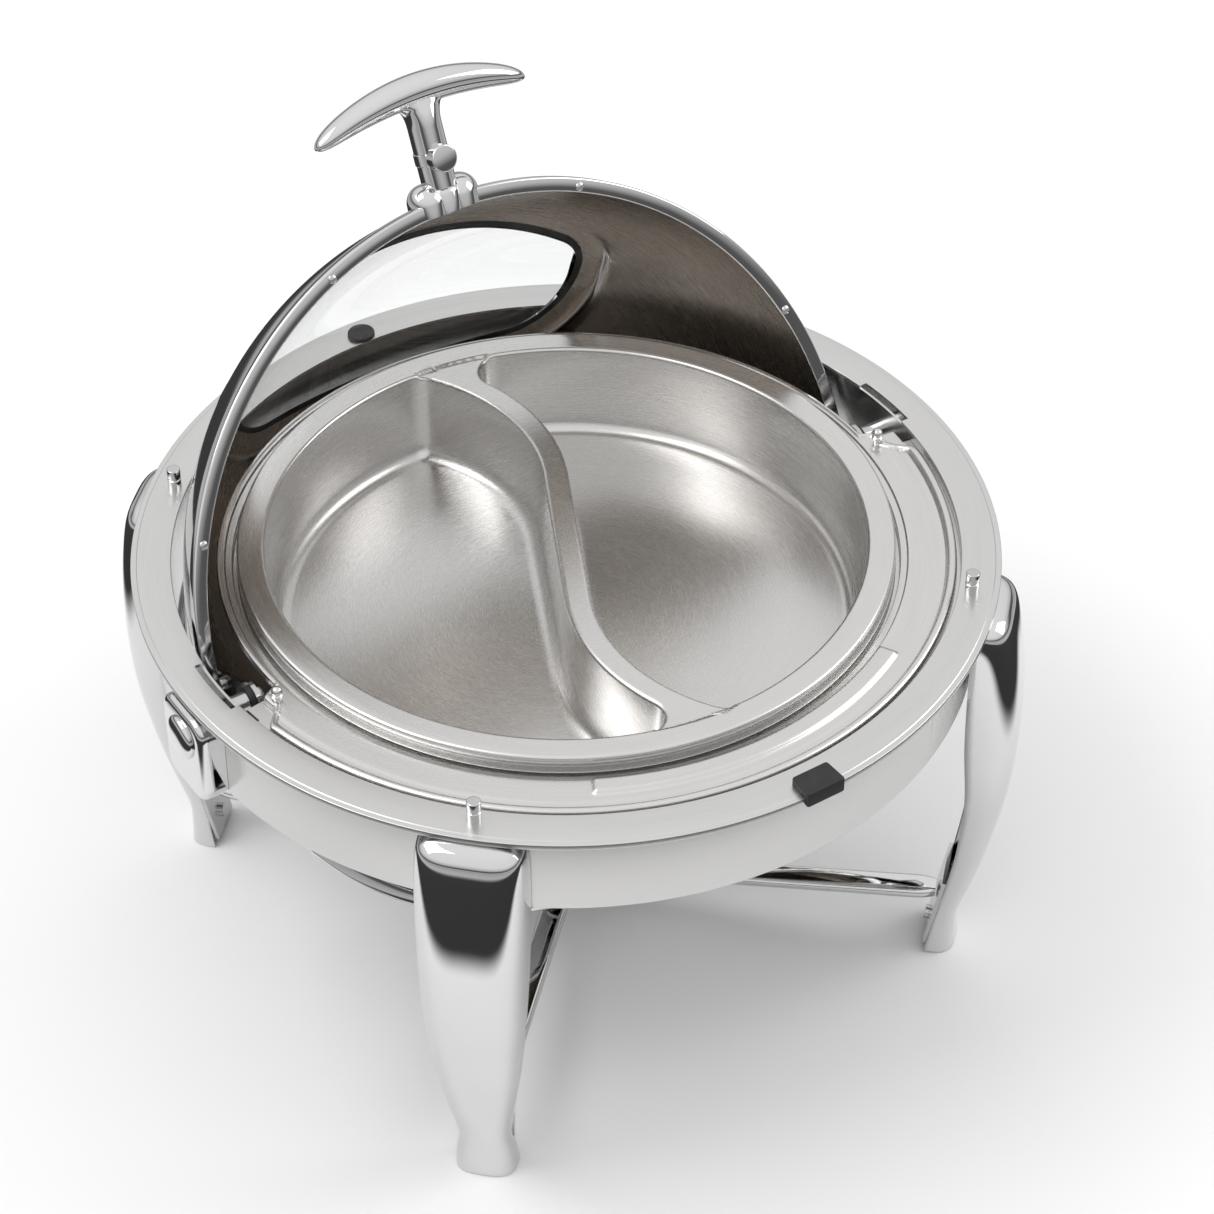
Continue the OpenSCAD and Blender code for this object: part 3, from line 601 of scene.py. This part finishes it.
def coverPiece(s, name, node, side):
    # rounded rectangles further and further out, drawn in by a quarter circle at the face
    turn, soft, face = np.linspace(0, math.pi / 2, 7), s["fillet"], s["outer"]
    insets = np.concatenate([[0, 0], soft * (1 - np.cos(turn)), [s["round"] - 1]])
    faces = np.concatenate([[0, face - soft - 3], face - soft * (1 - np.sin(turn)), [face]])
    rows = [roundedBox(s["wide"] - 2 * e, s["high"] - 2 * e, s["round"] - e) for e in insets]
    outline = np.stack(rows + [rows[-1] * 0])
    x = np.concatenate([faces, [face]])[:, None] + 0 * outline[..., 0]
    x[0] = np.sqrt((skirtRadius + 0.1) ** 2 - outline[0, :, 0] ** 2)
    grid = np.stack([side * x, outline[..., 0], ringTop - s["centreDown"] + outline[..., 1]], -1)
    return makePiece(name, Sheets().add(grid, False, True), mirrorFinish, bodyStand, [node])


def capPiece(s):
    # a low dome on each cover: a quarter of an oval turned about the hinge's line
    outer = float(nodeBox("hinge_caps")[1][0])
    turn = np.linspace(0, math.pi / 2, 12)
    radius = np.concatenate([[s["capRadius"]], s["capRadius"] * np.cos(turn) ** 0.7])
    spring = s["outer"] + s["capWall"]
    reach = np.concatenate([[s["outer"]], spring + (outer - spring) * np.sin(turn)])
    centre = np.array([0, 0, ringTop - s["capDown"]])
    sheets = Sheets()
    for side in (-1, 1):
        grid = revolved(np.stack([radius, reach], -1), fullTurn(64))
        sheets.add(swapAxes(grid, (2, 0, 1), (side, 1, 1)) + centre, True, False)
    return makePiece("hingeCaps", sheets, mirrorFinish, bodyStand, ["hinge_caps"])


waterSettings = {"depth": 100, "floor": 168, "floorRound": 12, "wall": 178, "seat": 196.3,
                 "seatDown": 5.5, "shelfDown": 4, "rearEdge": 201.5, "frontEdge": 225.0,
                 "beadHalf": 3.2, "beadUp": 3.6, "beadRear": 1.2, "pinAzimuth": 6.9, "tabEdge": 212,
                 "raisedOut": 208, "raisedUp": 2.2, "raisedHalf": 29, "gapIn": 189.6,
                 "gapOut": 192.4, "gapDeep": 6, "creaseAt": (213.2, 214.4), "creaseDeep": 0.35,
                 "edgeDrop": 2.2, "sheet": 1.2}


def waterPanPiece(s):
    # a polar surface: the turned bowl, then a shelf whose reach and height follow the azimuth
    shelf, seat, floor = -s["shelfDown"], -s["seatDown"], -s["depth"] + s["sheet"]
    gap = seat - s["gapDeep"]                # the narrow gap beside the food pan's lip
    bowl = roundedCorners([[0, floor, 0], [s["floor"] + 8, floor, s["floorRound"]],
                           [s["wall"], seat, 2.0], [s["gapIn"], seat, 0.3], [s["gapIn"], gap, 0.4],
                           [s["gapOut"], gap, 0.4], [s["gapOut"], seat, 0.4],
                           [s["seat"], seat, 0.5], [s["seat"] + 0.6, shelf, 0.6],
                           [s["seat"] + 2.5, shelf, 0]], steps=4, closed=False)
    runs = [(-180, -168, 97), (-167, -120, 48), (-119.8, -118, 10), (-117.5, -62.5, 111),
            (-62, -60.2, 10), (-60, -13, 48), (-12, 0, 97), (2, 178, 89)]
    away = np.concatenate([np.linspace(*run) for run in runs])
    front = np.where(away < 0, np.minimum(-away, 180 + away), 0)   # degrees before the hinge axis
    pin, rear, tab = s["pinAzimuth"], s["rearEdge"], s["tabEdge"]
    reach = (rear + (tab - rear) * smoothStep(pin - 3.4, pin - 1.4, front)
             + (s["frontEdge"] - tab) * smoothStep(pin + 0.6, pin + 4.6, front))
    azimuth = np.radians(away)
    share = np.concatenate([np.linspace(0, 0.35, 11)[1:], np.linspace(0.35, 0.78, 11)[1:],
                            np.linspace(0.78, 1, 18)[1:]])
    r = bowl[-1, 0] + (reach[:, None] - bowl[-1, 0]) * share[None]
    ridge = np.clip(1 - ((r - (reach[:, None] - s["beadHalf"])) / s["beadHalf"]) ** 2, 0, 1) ** 0.5
    grown = smoothStep(pin + 1, pin + 6, front)[:, None]
    beadUp = s["beadRear"] + (s["beadUp"] - s["beadRear"]) * grown
    fromFront = np.abs(away + 90)[:, None]
    lift = s["raisedUp"] * (1 - smoothStep(s["raisedHalf"] - 0.5, s["raisedHalf"] + 0.5, fromFront))
    raised = lift * (1 - smoothStep(s["raisedOut"] - 1.2, s["raisedOut"] + 1.2, r))
    crease = s["creaseDeep"] * smoothStep(*s["creaseAt"], r) * (front[:, None] > pin)
    turnedDown = s["edgeDrop"] * smoothStep(0, 1, r - (reach[:, None] - 1.0))
    z = shelf + ridge * beadUp + raised - crease - turnedDown
    shelfGrid = np.stack([r * np.cos(azimuth)[:, None], r * np.sin(azimuth)[:, None], z], -1)
    bowlGrid = revolved(bowl, azimuth)
    edge = smoothStep(s["seat"] - 0.4, s["seat"] + 2, bowl[:, 0])[None] * lift
    bowlGrid[..., 2] += edge
    grid = np.concatenate([bowlGrid, shelfGrid], 1) + np.array([0, 0, ringTop])
    return makePiece("waterPan", Sheets().add(grid, True, False), panFinish, bodyStand,
                     ["water_pan"], wall=s["sheet"], sharpAbove=50)


foodSettings = {"lean": math.atan(0.5), "half": 56, "bend": 120, "dividerHalf": 7.5,
                "wellRadius": 173, "corner": 14, "flange": 183, "lipRadius": 189.3, "proud": 5,
                "lipDown": 5.6, "rimRound": 2.6, "recess": 2.2, "depth": 60.8, "draft": 1.8,
                "floorRound": 10, "sheet": 1.2, "alongS": 150, "alongArc": 230,
                "floorSees": (122, 39)}      # a point of the floor that sees its whole outline


def dividerPoint(s, u, aside):
    # the divider's line: straight in the middle and an arc at each end; u runs along it
    reach = np.abs(u)
    heading = s["lean"] - np.clip(reach - s["half"], 0, None) / s["bend"]
    straight = np.minimum(reach, s["half"])
    x = straight * math.sin(s["lean"]) + s["bend"] * (np.cos(heading) - math.cos(s["lean"]))
    y = straight * math.cos(s["lean"]) + s["bend"] * (math.sin(s["lean"]) - np.sin(heading))
    return np.stack([np.sign(u) * x + aside * np.cos(heading),
                     np.sign(u) * y - aside * np.sin(heading)], -1)


def arcPoints(centre, radius, start, end, count):
    turn = np.linspace(start, end, count)
    return centre + radius * np.stack([np.cos(turn), np.sin(turn)], -1)


def wellOutline(s):
    # the right well: the divider's side, a fillet, the round wall and a second fillet
    u = np.linspace(0, 230, 2301)
    inner = s["wellRadius"] - s["corner"]
    ends, centres = [], []
    for sign in (-1, 1):
        gap = np.linalg.norm(dividerPoint(s, sign * u, s["dividerHalf"] + s["corner"]), axis=1)
        place = sign * u[np.argmax(gap > inner)]
        ends.append(place)
        centres.append(dividerPoint(s, np.array([place]), s["dividerHalf"] + s["corner"])[0])
    side = dividerPoint(s, np.linspace(ends[0], ends[1], 300), s["dividerHalf"])

    def fillet(k):                           # from the divider's side to the round wall
        centre = centres[k]
        first = side[0 if k == 0 else -1] - centre
        a = math.atan2(first[1], first[0])
        b = math.atan2(centre[1], centre[0])
        b = a + (b - a + math.pi) % (2 * math.pi) - math.pi
        return arcPoints(centre, s["corner"], a, b, 41)

    low, high = fillet(0), fillet(1)
    wallFrom, wallTo = (math.atan2(*centres[k][::-1]) for k in (1, 0))
    wall = arcPoints(np.zeros(2), s["wellRadius"], wallFrom, wallTo, 400)
    alongS = np.vstack([low[20::-1], side[1:-1], high[:21]])
    alongArc = np.vstack([high[20:], wall[1:-1], low[:19:-1]])
    return resample(alongS, s["alongS"]), resample(alongArc, s["alongArc"])


def offsetOutline(closed, inwards):          # move a closed outline along its own normals
    tangent = np.roll(closed, -1, 0) - np.roll(closed, 1, 0)
    tangent /= np.linalg.norm(tangent, axis=1)[:, None]
    normal = np.stack([tangent[:, 1], -tangent[:, 0]], -1)
    if (closed * normal).sum() < 0:
        normal = -normal
    return closed - normal * inwards


def foodPanPiece(s):
    # each half runs from the divider's middle and the flange down one well to its floor
    u = np.linspace(0, 260, 2601)
    end = u[np.argmax(np.linalg.norm(dividerPoint(s, u, 0), axis=1) > s["flange"])]
    middle = dividerPoint(s, np.linspace(-end, end, s["alongS"]), 0)
    tip = middle[-1] / np.linalg.norm(middle[-1]) * s["flange"]
    middle[-1], middle[0] = tip, -tip
    start = math.atan2(tip[1], tip[0])
    arc = arcPoints(np.zeros(2), s["flange"], start, start - math.pi, s["alongArc"])
    outer = np.vstack([middle, arc[1:-1]])
    sideS, sideArc = wellOutline(s)
    well = np.vstack([sideS, sideArc[1:-1]])
    rim = offsetOutline(well, -s["rimRound"])
    share = np.linspace(0, 1, 26)[:, None, None]
    flat = outer + (rim - outer) * share

    def sunk(points):                        # the divider's top lies lower than the flange
        away = np.linalg.norm(points, axis=-1)
        return -s["recess"] * (1 - smoothStep(s["wellRadius"] + 0.6, s["wellRadius"] + 2.2, away))

    rows = [np.concatenate([row, sunk(row)[:, None]], 1) for row in flat]
    drop = sunk(rim)
    turn = np.linspace(0, math.pi / 2, 7)[1:]
    brim, cove, draft = s["rimRound"], s["floorRound"], s["draft"]
    wallLow = s["depth"] - cove
    steps = [(-brim * (1 - math.sin(t)), brim * (1 - math.cos(t))) for t in turn]
    steps += [(draft * k, brim + (wallLow - brim) * k) for k in (0.25, 0.5, 0.75, 1)]
    steps += [(draft + cove * (1 - math.cos(t)), wallLow + cove * math.sin(t)) for t in turn]
    for inwards, down in steps:
        z = drop * np.clip(1 - down / wallLow, 0, 1) - down
        rows.append(np.concatenate([offsetOutline(well, inwards), z[:, None]], 1))
    centre = np.array([*s["floorSees"], rows[-1][:, 2].mean()])
    rows += [centre + (rows[-1] - centre) * k for k in (0.7, 0.35, 0.0)]
    half = np.stack(rows)
    other = half * np.array([-1, -1, 1])
    angles = np.concatenate([np.linspace(start, start - math.pi, s["alongArc"])[:-1],
                             np.linspace(start - math.pi, start - 2 * math.pi, s["alongArc"])[:-1]])
    lip = roundedCorners([[s["flange"], 0, 0], [s["lipRadius"], 0, 2.0],
                          [s["lipRadius"], -s["proud"] - s["lipDown"], 0]], steps=8, closed=False)
    sheets = Sheets()
    lift = np.array([0, 0, ringTop + s["proud"]])
    sheets.add(half + lift, False, True).add(other + lift, False, True)
    sheets.add(revolved(lip, angles) + lift, True, False)
    return makePiece("foodPan", sheets, panFinish, bodyPan, ["food_pan"],
                     wall=s["sheet"], sharpAbove=55, merge=0.02)


domeSettings = {"radius": 221, "wall": 2, "rim": 34.05, "around": 600, "rows": 80, "beadAway": 15.5,
                "beadWide": 3.6, "beadUp": 1.7, "beadLow": 102, "beadFull": 118}
windowSettings = {"half": 122, "front": 115, "rear": 86, "rearRound": 38, "frontRound": 14,
                  "lean": 0.712, "glassOut": 220.5, "glassIn": 217.5, "gasket": 4, "gasketOut": 222,
                  "gasketIn": 217.8}
windowTurns = fullTurn(domeSettings["around"])
windowAhead = np.array([0, -math.sin(windowSettings["lean"]), math.cos(windowSettings["lean"])])
windowUp = np.array([0, math.cos(windowSettings["lean"]), math.sin(windowSettings["lean"])])


def onSphere(radius, away, turns):
    # a point at the angle away from the window's middle, in the direction turns round it
    a, t = np.broadcast_arrays(away, turns)
    a, t = a[..., None], t[..., None]
    aside = np.cos(t) * np.array([1, 0, 0]) + np.sin(t) * windowUp
    return radius * (np.cos(a) * windowAhead + np.sin(a) * aside)


def windowGap(points, inset):                # below 0 inside the window's outline
    s = windowSettings

    def corner(a, b, r):
        a, b = a + r, b + r
        return np.minimum(np.maximum(a, b), 0) + np.hypot(np.maximum(a, 0), np.maximum(b, 0)) - r

    x = np.abs(points[..., 0]) - s["half"]
    plan = corner(x, points[..., 1] + s["rear"], s["rearRound"])
    face = corner(x, s["front"] - points[..., 2], s["frontRound"])
    return np.maximum(plan, face) + inset


def angleWhere(radius, test, low, high):     # halve the range until test changes sign
    low, high = low + 0 * windowTurns, high + 0 * windowTurns
    for _ in range(40):
        middle = (low + high) / 2
        inside = test(onSphere(radius, middle, windowTurns)) < 0
        low, high = np.where(inside, middle, low), np.where(inside, high, middle)
    return (low + high) / 2


def windowEdge(radius, inset):
    return angleWhere(radius, lambda p: windowGap(p, inset), 0.05, 1.3)


def domePiece(s):
    # rays leave the window's middle; each row lies between the window's edge and the rim
    share = np.linspace(0, 1, s["rows"]) ** 1.5
    skins = []
    border = onSphere(s["radius"], windowEdge(s["radius"], 0), windowTurns)
    for radius in (s["radius"], s["radius"] - s["wall"]):
        first = windowEdge(radius, 0)
        last = angleWhere(radius, lambda p: s["rim"] - p[..., 2], first, 2.6)
        away = first + (last - first) * share[:, None]
        grid = onSphere(radius, away, windowTurns)
        flatGrid = grid.reshape(-1, 3)
        near = np.concatenate([np.linalg.norm(part[:, None] - border[None], axis=2).min(1)
                               for part in np.array_split(flatGrid, 60)]).reshape(grid.shape[:2])
        bead = np.exp(-((near - s["beadAway"]) / s["beadWide"]) ** 2)
        bead = bead * smoothStep(s["beadLow"], s["beadFull"], grid[..., 2]) * s["beadUp"]
        skins.append(grid * (1 + bead / radius)[..., None])
    loop = np.concatenate([skins[0], skins[1][::-1]])
    return makePiece("lidDome", Sheets().add(openedLid(loop), True, True), lidFinish, bodyLid,
                     ["lid_dome"])


def glassPiece(s):
    # two spherical skins from the window's middle out to the gasket
    edge = s["gasket"] + 0.1
    share = np.linspace(0, 1, 30)[:, None]
    outer, inner = (onSphere(radius, windowEdge(radius, edge) * share, windowTurns)
                    for radius in (s["glassOut"], s["glassIn"]))
    grid = openedLid(np.concatenate([outer, inner[::-1]]))
    return makePiece("windowGlass", Sheets().add(grid, False, True), clearGlass, bodyLid,
                     ["window_glass"])


def gasketPiece(s):
    # a rounded strip that follows the window's edge
    low, high, wide = s["gasketIn"], s["gasketOut"], s["gasket"]
    strip = roundedCorners([[0.1, low, 0.3], [0.1, high, 0.8], [wide, high, 1.2], [wide, low, 0.6]])
    rows = np.stack([onSphere(radius, windowEdge(radius, inset), windowTurns)
                     for inset, radius in strip])
    return makePiece("windowGasket", Sheets().add(openedLid(rows), True, True), blackRubber,
                     bodyLid, ["window_gasket"], sharpAbove=50)


rimSettings = {"inner": 212, "outer": 220.5, "low": 32, "plate": 2, "up": 6, "upstand": 1.8,
               "rivetAt": 215.5, "rivetRadius": 2.7, "rivetDown": 1.2, "rivets": 8}


def lidRimPiece(s):
    # an L-shaped profile, a flat plate and a short upstand, turned about Z on the closed lid
    low, outer, hole, plate = s["low"], s["outer"], s["inner"], s["low"] + s["plate"]
    inside, top = outer - s["upstand"], low + s["up"]
    profile = roundedCorners([[hole, low, 0.7], [outer, low, 1.3], [outer, top, 0.6],
                              [inside, top, 0.4], [inside, plate, 0.3], [hole, plate, 0.7]])
    grid = openedLid(revolved(profile, fullTurn(480)))
    return makePiece("lidRim", Sheets().add(grid, True, True), mirrorFinish, bodyLid, ["lid_rim"],
                     sharpAbove=35)


def rivetPiece(s):
    # low round heads under the rim, each a quarter of an oval turned about its own axis
    turn = np.linspace(0, math.pi / 2, 7)
    head = np.stack([s["rivetRadius"] * np.cos(turn), -s["rivetDown"] * np.sin(turn)], -1)
    profile = np.vstack([[[0, 0.4]], [[s["rivetRadius"], 0.4]], head])
    sheets = Sheets()
    for k in range(s["rivets"]):
        azimuth = 360 * (k + 0.5) / s["rivets"]
        sheets.add(openedLid(turnedPin(profile, azimuth, s["rivetAt"], s["low"])), True, False)
    return makePiece("rimRivets", sheets, hardwareFinish, bodyLid, ["rim_rivets"])


handleSettings = {"height": 41, "postRadius": 10, "postFrom": 220, "postTo": 280, "flareFrom": 262,
                  "flareLong": 13, "flare": 6.5, "gripInner": 273.5, "gripWide": 18.5,
                  "gripTall": 9.5, "gripHalfTurn": math.radians(14.3), "endHalf": 4, "endTall": 6,
                  "sunk": 212, "lobeFrom": 219, "lobeHigh": 11, "lobeAside": 10.5,
                  "lobeRadius": 11.5, "lugRadius": 8, "lugAt": 243.5, "lugLow": 25.3,
                  "collar": 10.6, "collarHalf": 3.6}


def gripPiece(s):
    # ellipses along an arc about the ring's centre, thinner towards the round ends
    t = np.sin(np.linspace(-math.pi / 2, math.pi / 2, 121))
    nose = np.sqrt(np.clip(1 - np.abs(t) ** 14, 0, 1))

    def size(mid, end):
        return (end + (mid - end) * np.cos(math.pi / 2 * t).clip(0) ** 0.8)

    plain = size(s["gripWide"] / 2, s["endHalf"])
    wide, tall = plain * nose, size(s["gripTall"], s["endTall"]) * nose
    turn = fullTurn(44)[None]
    bow = np.sign(np.cos(turn)) * np.abs(np.cos(turn)) ** 0.9
    r = (s["gripInner"] + plain)[:, None] + wide[:, None] * bow
    a = (-math.pi / 2 + s["gripHalfTurn"] * t)[:, None]
    z = s["height"] + tall[:, None] * np.sin(turn)
    grid = np.stack([r * np.cos(a), r * np.sin(a), z], -1)
    return makePiece("handleGrip", Sheets().add(openedLid(grid), False, True), mirrorFinish,
                     bodyLid, ["handle_grip"], sharpAbove=60)


def alongPost(rings):
    # rings are [distance from the hinge axis, half width, half height]
    rings = np.array(rings, float)
    turn = fullTurn(64)[None]
    x = rings[:, 1:2] * np.cos(turn)
    z = rings[:, 2:3] * np.sin(turn)
    return np.stack([x, -rings[:, 0:1] + 0 * x, z], -1)


def postPiece(s):
    # circles up the post, which spread sideways into the grip by a quarter of an oval
    r, low, neck = s["postRadius"], s["postFrom"], s["flareFrom"]
    rings = [[low, 0, 0], [low, r, r]] + [[y, r, r] for y in np.linspace(low + 2, neck, 6)]
    for t in np.linspace(0, 1, 9)[1:]:
        spread = s["flare"] * (1 - math.sqrt(max(1 - t * t, 0)))
        rings.append([neck + s["flareLong"] * t, r + spread, r - 1.6 * t * t])
    rings += [[s["postTo"], r + s["flare"], r - 2.5], [s["postTo"], 0, 0]]
    grid = alongPost(rings) + np.array([0, 0, s["height"]])
    return makePiece("handlePost", Sheets().add(openedLid(grid), False, True), mirrorFinish,
                     bodyLid, ["handle_post"], sharpAbove=60)


def saddlePiece(s):
    # two round lobes beside a collar, all sunk a little into the dome
    turn = np.linspace(0, math.pi / 2, 12)
    r, foot = s["lobeRadius"], s["sunk"]
    lobe = [[foot, 0, 0], [foot, r, r]]
    for t in turn:
        wide = r * math.cos(t) ** 0.85
        lobe.append([s["lobeFrom"] + s["lobeHigh"] * math.sin(t), wide, wide])
    sheets = Sheets()
    for side in (-1, 1):
        grid = alongPost(lobe) + np.array([side * s["lobeAside"], 0, s["height"]])
        sheets.add(openedLid(grid), False, True)
    collar = [[foot, 0], [foot, 11.6], [223, 11.6], [224.6, 11.2], [225.6, 10.4], [226, 9.5],
              [226, 0]]
    rings = [[y, wide, wide] for y, wide in collar]
    sheets.add(openedLid(alongPost(rings) + np.array([0, 0, s["height"]])), False, True)
    return makePiece("handleSaddle", sheets, mirrorFinish, bodyLid, ["handle_saddle"],
                     sharpAbove=50)


def lugPiece(s):
    # a slim collar round the post and a round stub that lands on the front bumper
    sheets = Sheets()
    h, r = s["collarHalf"], s["collar"]
    half = ((-h, 9.6), (-h, r - 0.4), (-h + 0.5, r), (h - 0.5, r), (h, r - 0.4), (h, 9.6))
    band = [[s["lugAt"] + along, wide, wide] for along, wide in half]
    sheets.add(openedLid(alongPost(band) + np.array([0, 0, s["height"]])), True, True)
    top, low, k = s["height"] + 2, s["lugLow"], s["lugRadius"]
    stub = roundedCorners([[0, top, 0], [k - 0.6, top, 0], [k, low, 0.9], [0, low, 0]],
                          closed=False)
    grid = revolved(stub, fullTurn(64)) + np.array([0, -s["lugAt"], 0])
    sheets.add(openedLid(grid), True, False)
    return makePiece("stopLug", sheets, mirrorFinish, bodyLid, ["stop_lug"])


ringPiece(ringSettings)
skirtPiece(bandSettings)
linerPiece(bandSettings)
studPiece(studSettings)
acornPiece(acornSettings)
bumperPiece(bumperSettings)
rearBumperPiece(bumperSettings)
print("ring, bands and studs made")
for legName in legSettings["legs"]:
    legPiece(legSettings, legName)
for barName in barSettings["bars"]:
    barPiece(barSettings, barName)
hubPiece(barSettings)
coverPiece(coverSettings, "hingeCoverLeft", "hinge_cover_left", -1)
coverPiece(coverSettings, "hingeCoverRight", "hinge_cover_right", 1)
capPiece(coverSettings)
print("legs, stretcher and covers made")
waterPanPiece(waterSettings)
foodPanPiece(foodSettings)
print("pans made")
domePiece(domeSettings)
glassPiece(windowSettings)
gasketPiece(windowSettings)
lidRimPiece(rimSettings)
rivetPiece(rimSettings)
gripPiece(handleSettings)
postPiece(handleSettings)
saddlePiece(handleSettings)
lugPiece(handleSettings)
print("lid and handle made")


studioSettings = {"floorHalf": 14, "floorShade": 0.86, "tableEdge": 0.50, "tableFade": 0.04,
                  "darkShade": 0.03, "darkEnd": 1.15, "darkFade": 0.15, "farShade": 0.45,
                  "backdrop": 0.95, "sky": 1.0, "lens": 102.72,
                  "camera": (-0.8243, -1.2849, 1.5673), "forward": (0.4154, 0.6262, -0.6597),
                  "up": (0.3647, 0.5497, 0.7515), "target": (0, 0, 0.25),
                  "lights": {"keyLight": ((-1.4, 0.6, 2.2), 1.6, 26),
                             "fillLight": ((1.9, -0.9, 1.6), 1.4, 16)},
                  "skyStops": [(0.0, 0.7), (0.49, 0.7), (0.51, 0.10), (0.545, 0.12), (0.60, 0.60),
                               (0.72, 0.90), (1.0, 1.0)]}


def addFloor(s):
    # one square, whose colour is dark in a ring round the object for polished metal alone
    half = s["floorHalf"]
    corners = [(-half, -half, 0), (half, -half, 0), (half, half, 0), (-half, half, 0)]
    mesh = bpy.data.meshes.new("floor")
    mesh.from_pydata(corners, [], [(0, 1, 2, 3)])
    floor = bpy.data.objects.new("floor", mesh)
    bpy.context.scene.collection.objects.link(floor)
    material, finish, shader, place = newMaterial("paleFloor")
    speck = finish.noise(place, 3.0, 2.0)
    pale = finish.blend(speck, tint(s["floorShade"] - 0.01), tint(s["floorShade"] + 0.01))
    parts = finish.node("ShaderNodeSeparateXYZ", None, {"Vector": place})
    x, y = (Wire(finish, socket) for socket in list(parts.socket.node.outputs)[:2])
    away = (x * x + y * y) ** 0.5
    beyond = finish.step(away, s["tableEdge"] - s["tableFade"], s["tableEdge"] + s["tableFade"])
    faded = finish.step(away, s["darkEnd"] - s["darkFade"], s["darkEnd"] + s["darkFade"])
    mirrored = finish.node("ShaderNodeLightPath", None, None, "Is Glossy Ray")
    through = Wire(finish, mirrored.socket.node.outputs["Is Transmission Ray"])
    dark = beyond * mirrored * (1 - through)
    mirroredShade = finish.blend(faded, tint(s["darkShade"]), tint(s["farShade"]))
    finish.join(shader.inputs["Base Color"], finish.blend(dark, pale, mirroredShade))
    shader.inputs["Roughness"].default_value = 0.8
    shader.inputs["Specular IOR Level"].default_value = 0.1
    mesh.materials.append(material)


def addWorld(s):
    # pale overhead, a dark band at the horizon for the steel to mirror, plain pale to the camera
    world = bpy.data.worlds.new("studio")
    bpy.context.scene.world = world
    world.use_nodes = True
    sky = Finish(world.node_tree)
    background = world.node_tree.nodes["Background"]
    direction = sky.node("ShaderNodeTexCoord", None, None, "Generated")
    parts = sky.node("ShaderNodeSeparateXYZ", None, {"Vector": direction})
    z = Wire(sky, parts.socket.node.outputs["Z"])
    shade = sky.node("ShaderNodeValToRGB", {"stops": s["skyStops"]}, {"Fac": z * 0.5 + 0.5})
    toCamera = sky.node("ShaderNodeLightPath", None, None, "Is Camera Ray")
    sky.join(background.inputs["Color"], sky.blend(toCamera, shade, tint(s["backdrop"])))
    background.inputs["Strength"].default_value = s["sky"]


def addLight(name, place, target, size, power):
    lamp = bpy.data.lights.new(name, "AREA")
    lamp.shape, lamp.size, lamp.energy = "SQUARE", size, power
    holder = bpy.data.objects.new(name, lamp)
    bpy.context.scene.collection.objects.link(holder)
    holder.location = place
    holder.rotation_euler = (Vector(target) - Vector(place)).to_track_quat("-Z", "Y").to_euler()


def addCamera(s):
    lens = bpy.data.cameras.new("view")
    lens.lens, lens.sensor_width = s["lens"], 36
    camera = bpy.data.objects.new("view", lens)
    bpy.context.scene.collection.objects.link(camera)
    forward, up = Vector(s["forward"]).normalized(), Vector(s["up"]).normalized()
    right = forward.cross(up).normalized()
    turn = Matrix((right, right.cross(forward), -forward)).transposed()
    camera.matrix_world = Matrix.Translation(Vector(s["camera"])) @ turn.to_4x4()
    bpy.context.scene.camera = camera


addFloor(studioSettings)
addWorld(studioSettings)
for lightName, (lightPlace, lightSize, lightPower) in studioSettings["lights"].items():
    addLight(lightName, lightPlace, studioSettings["target"], lightSize, lightPower)
addCamera(studioSettings)
bpy.context.scene.view_settings.view_transform = "Standard"
print("studio made")
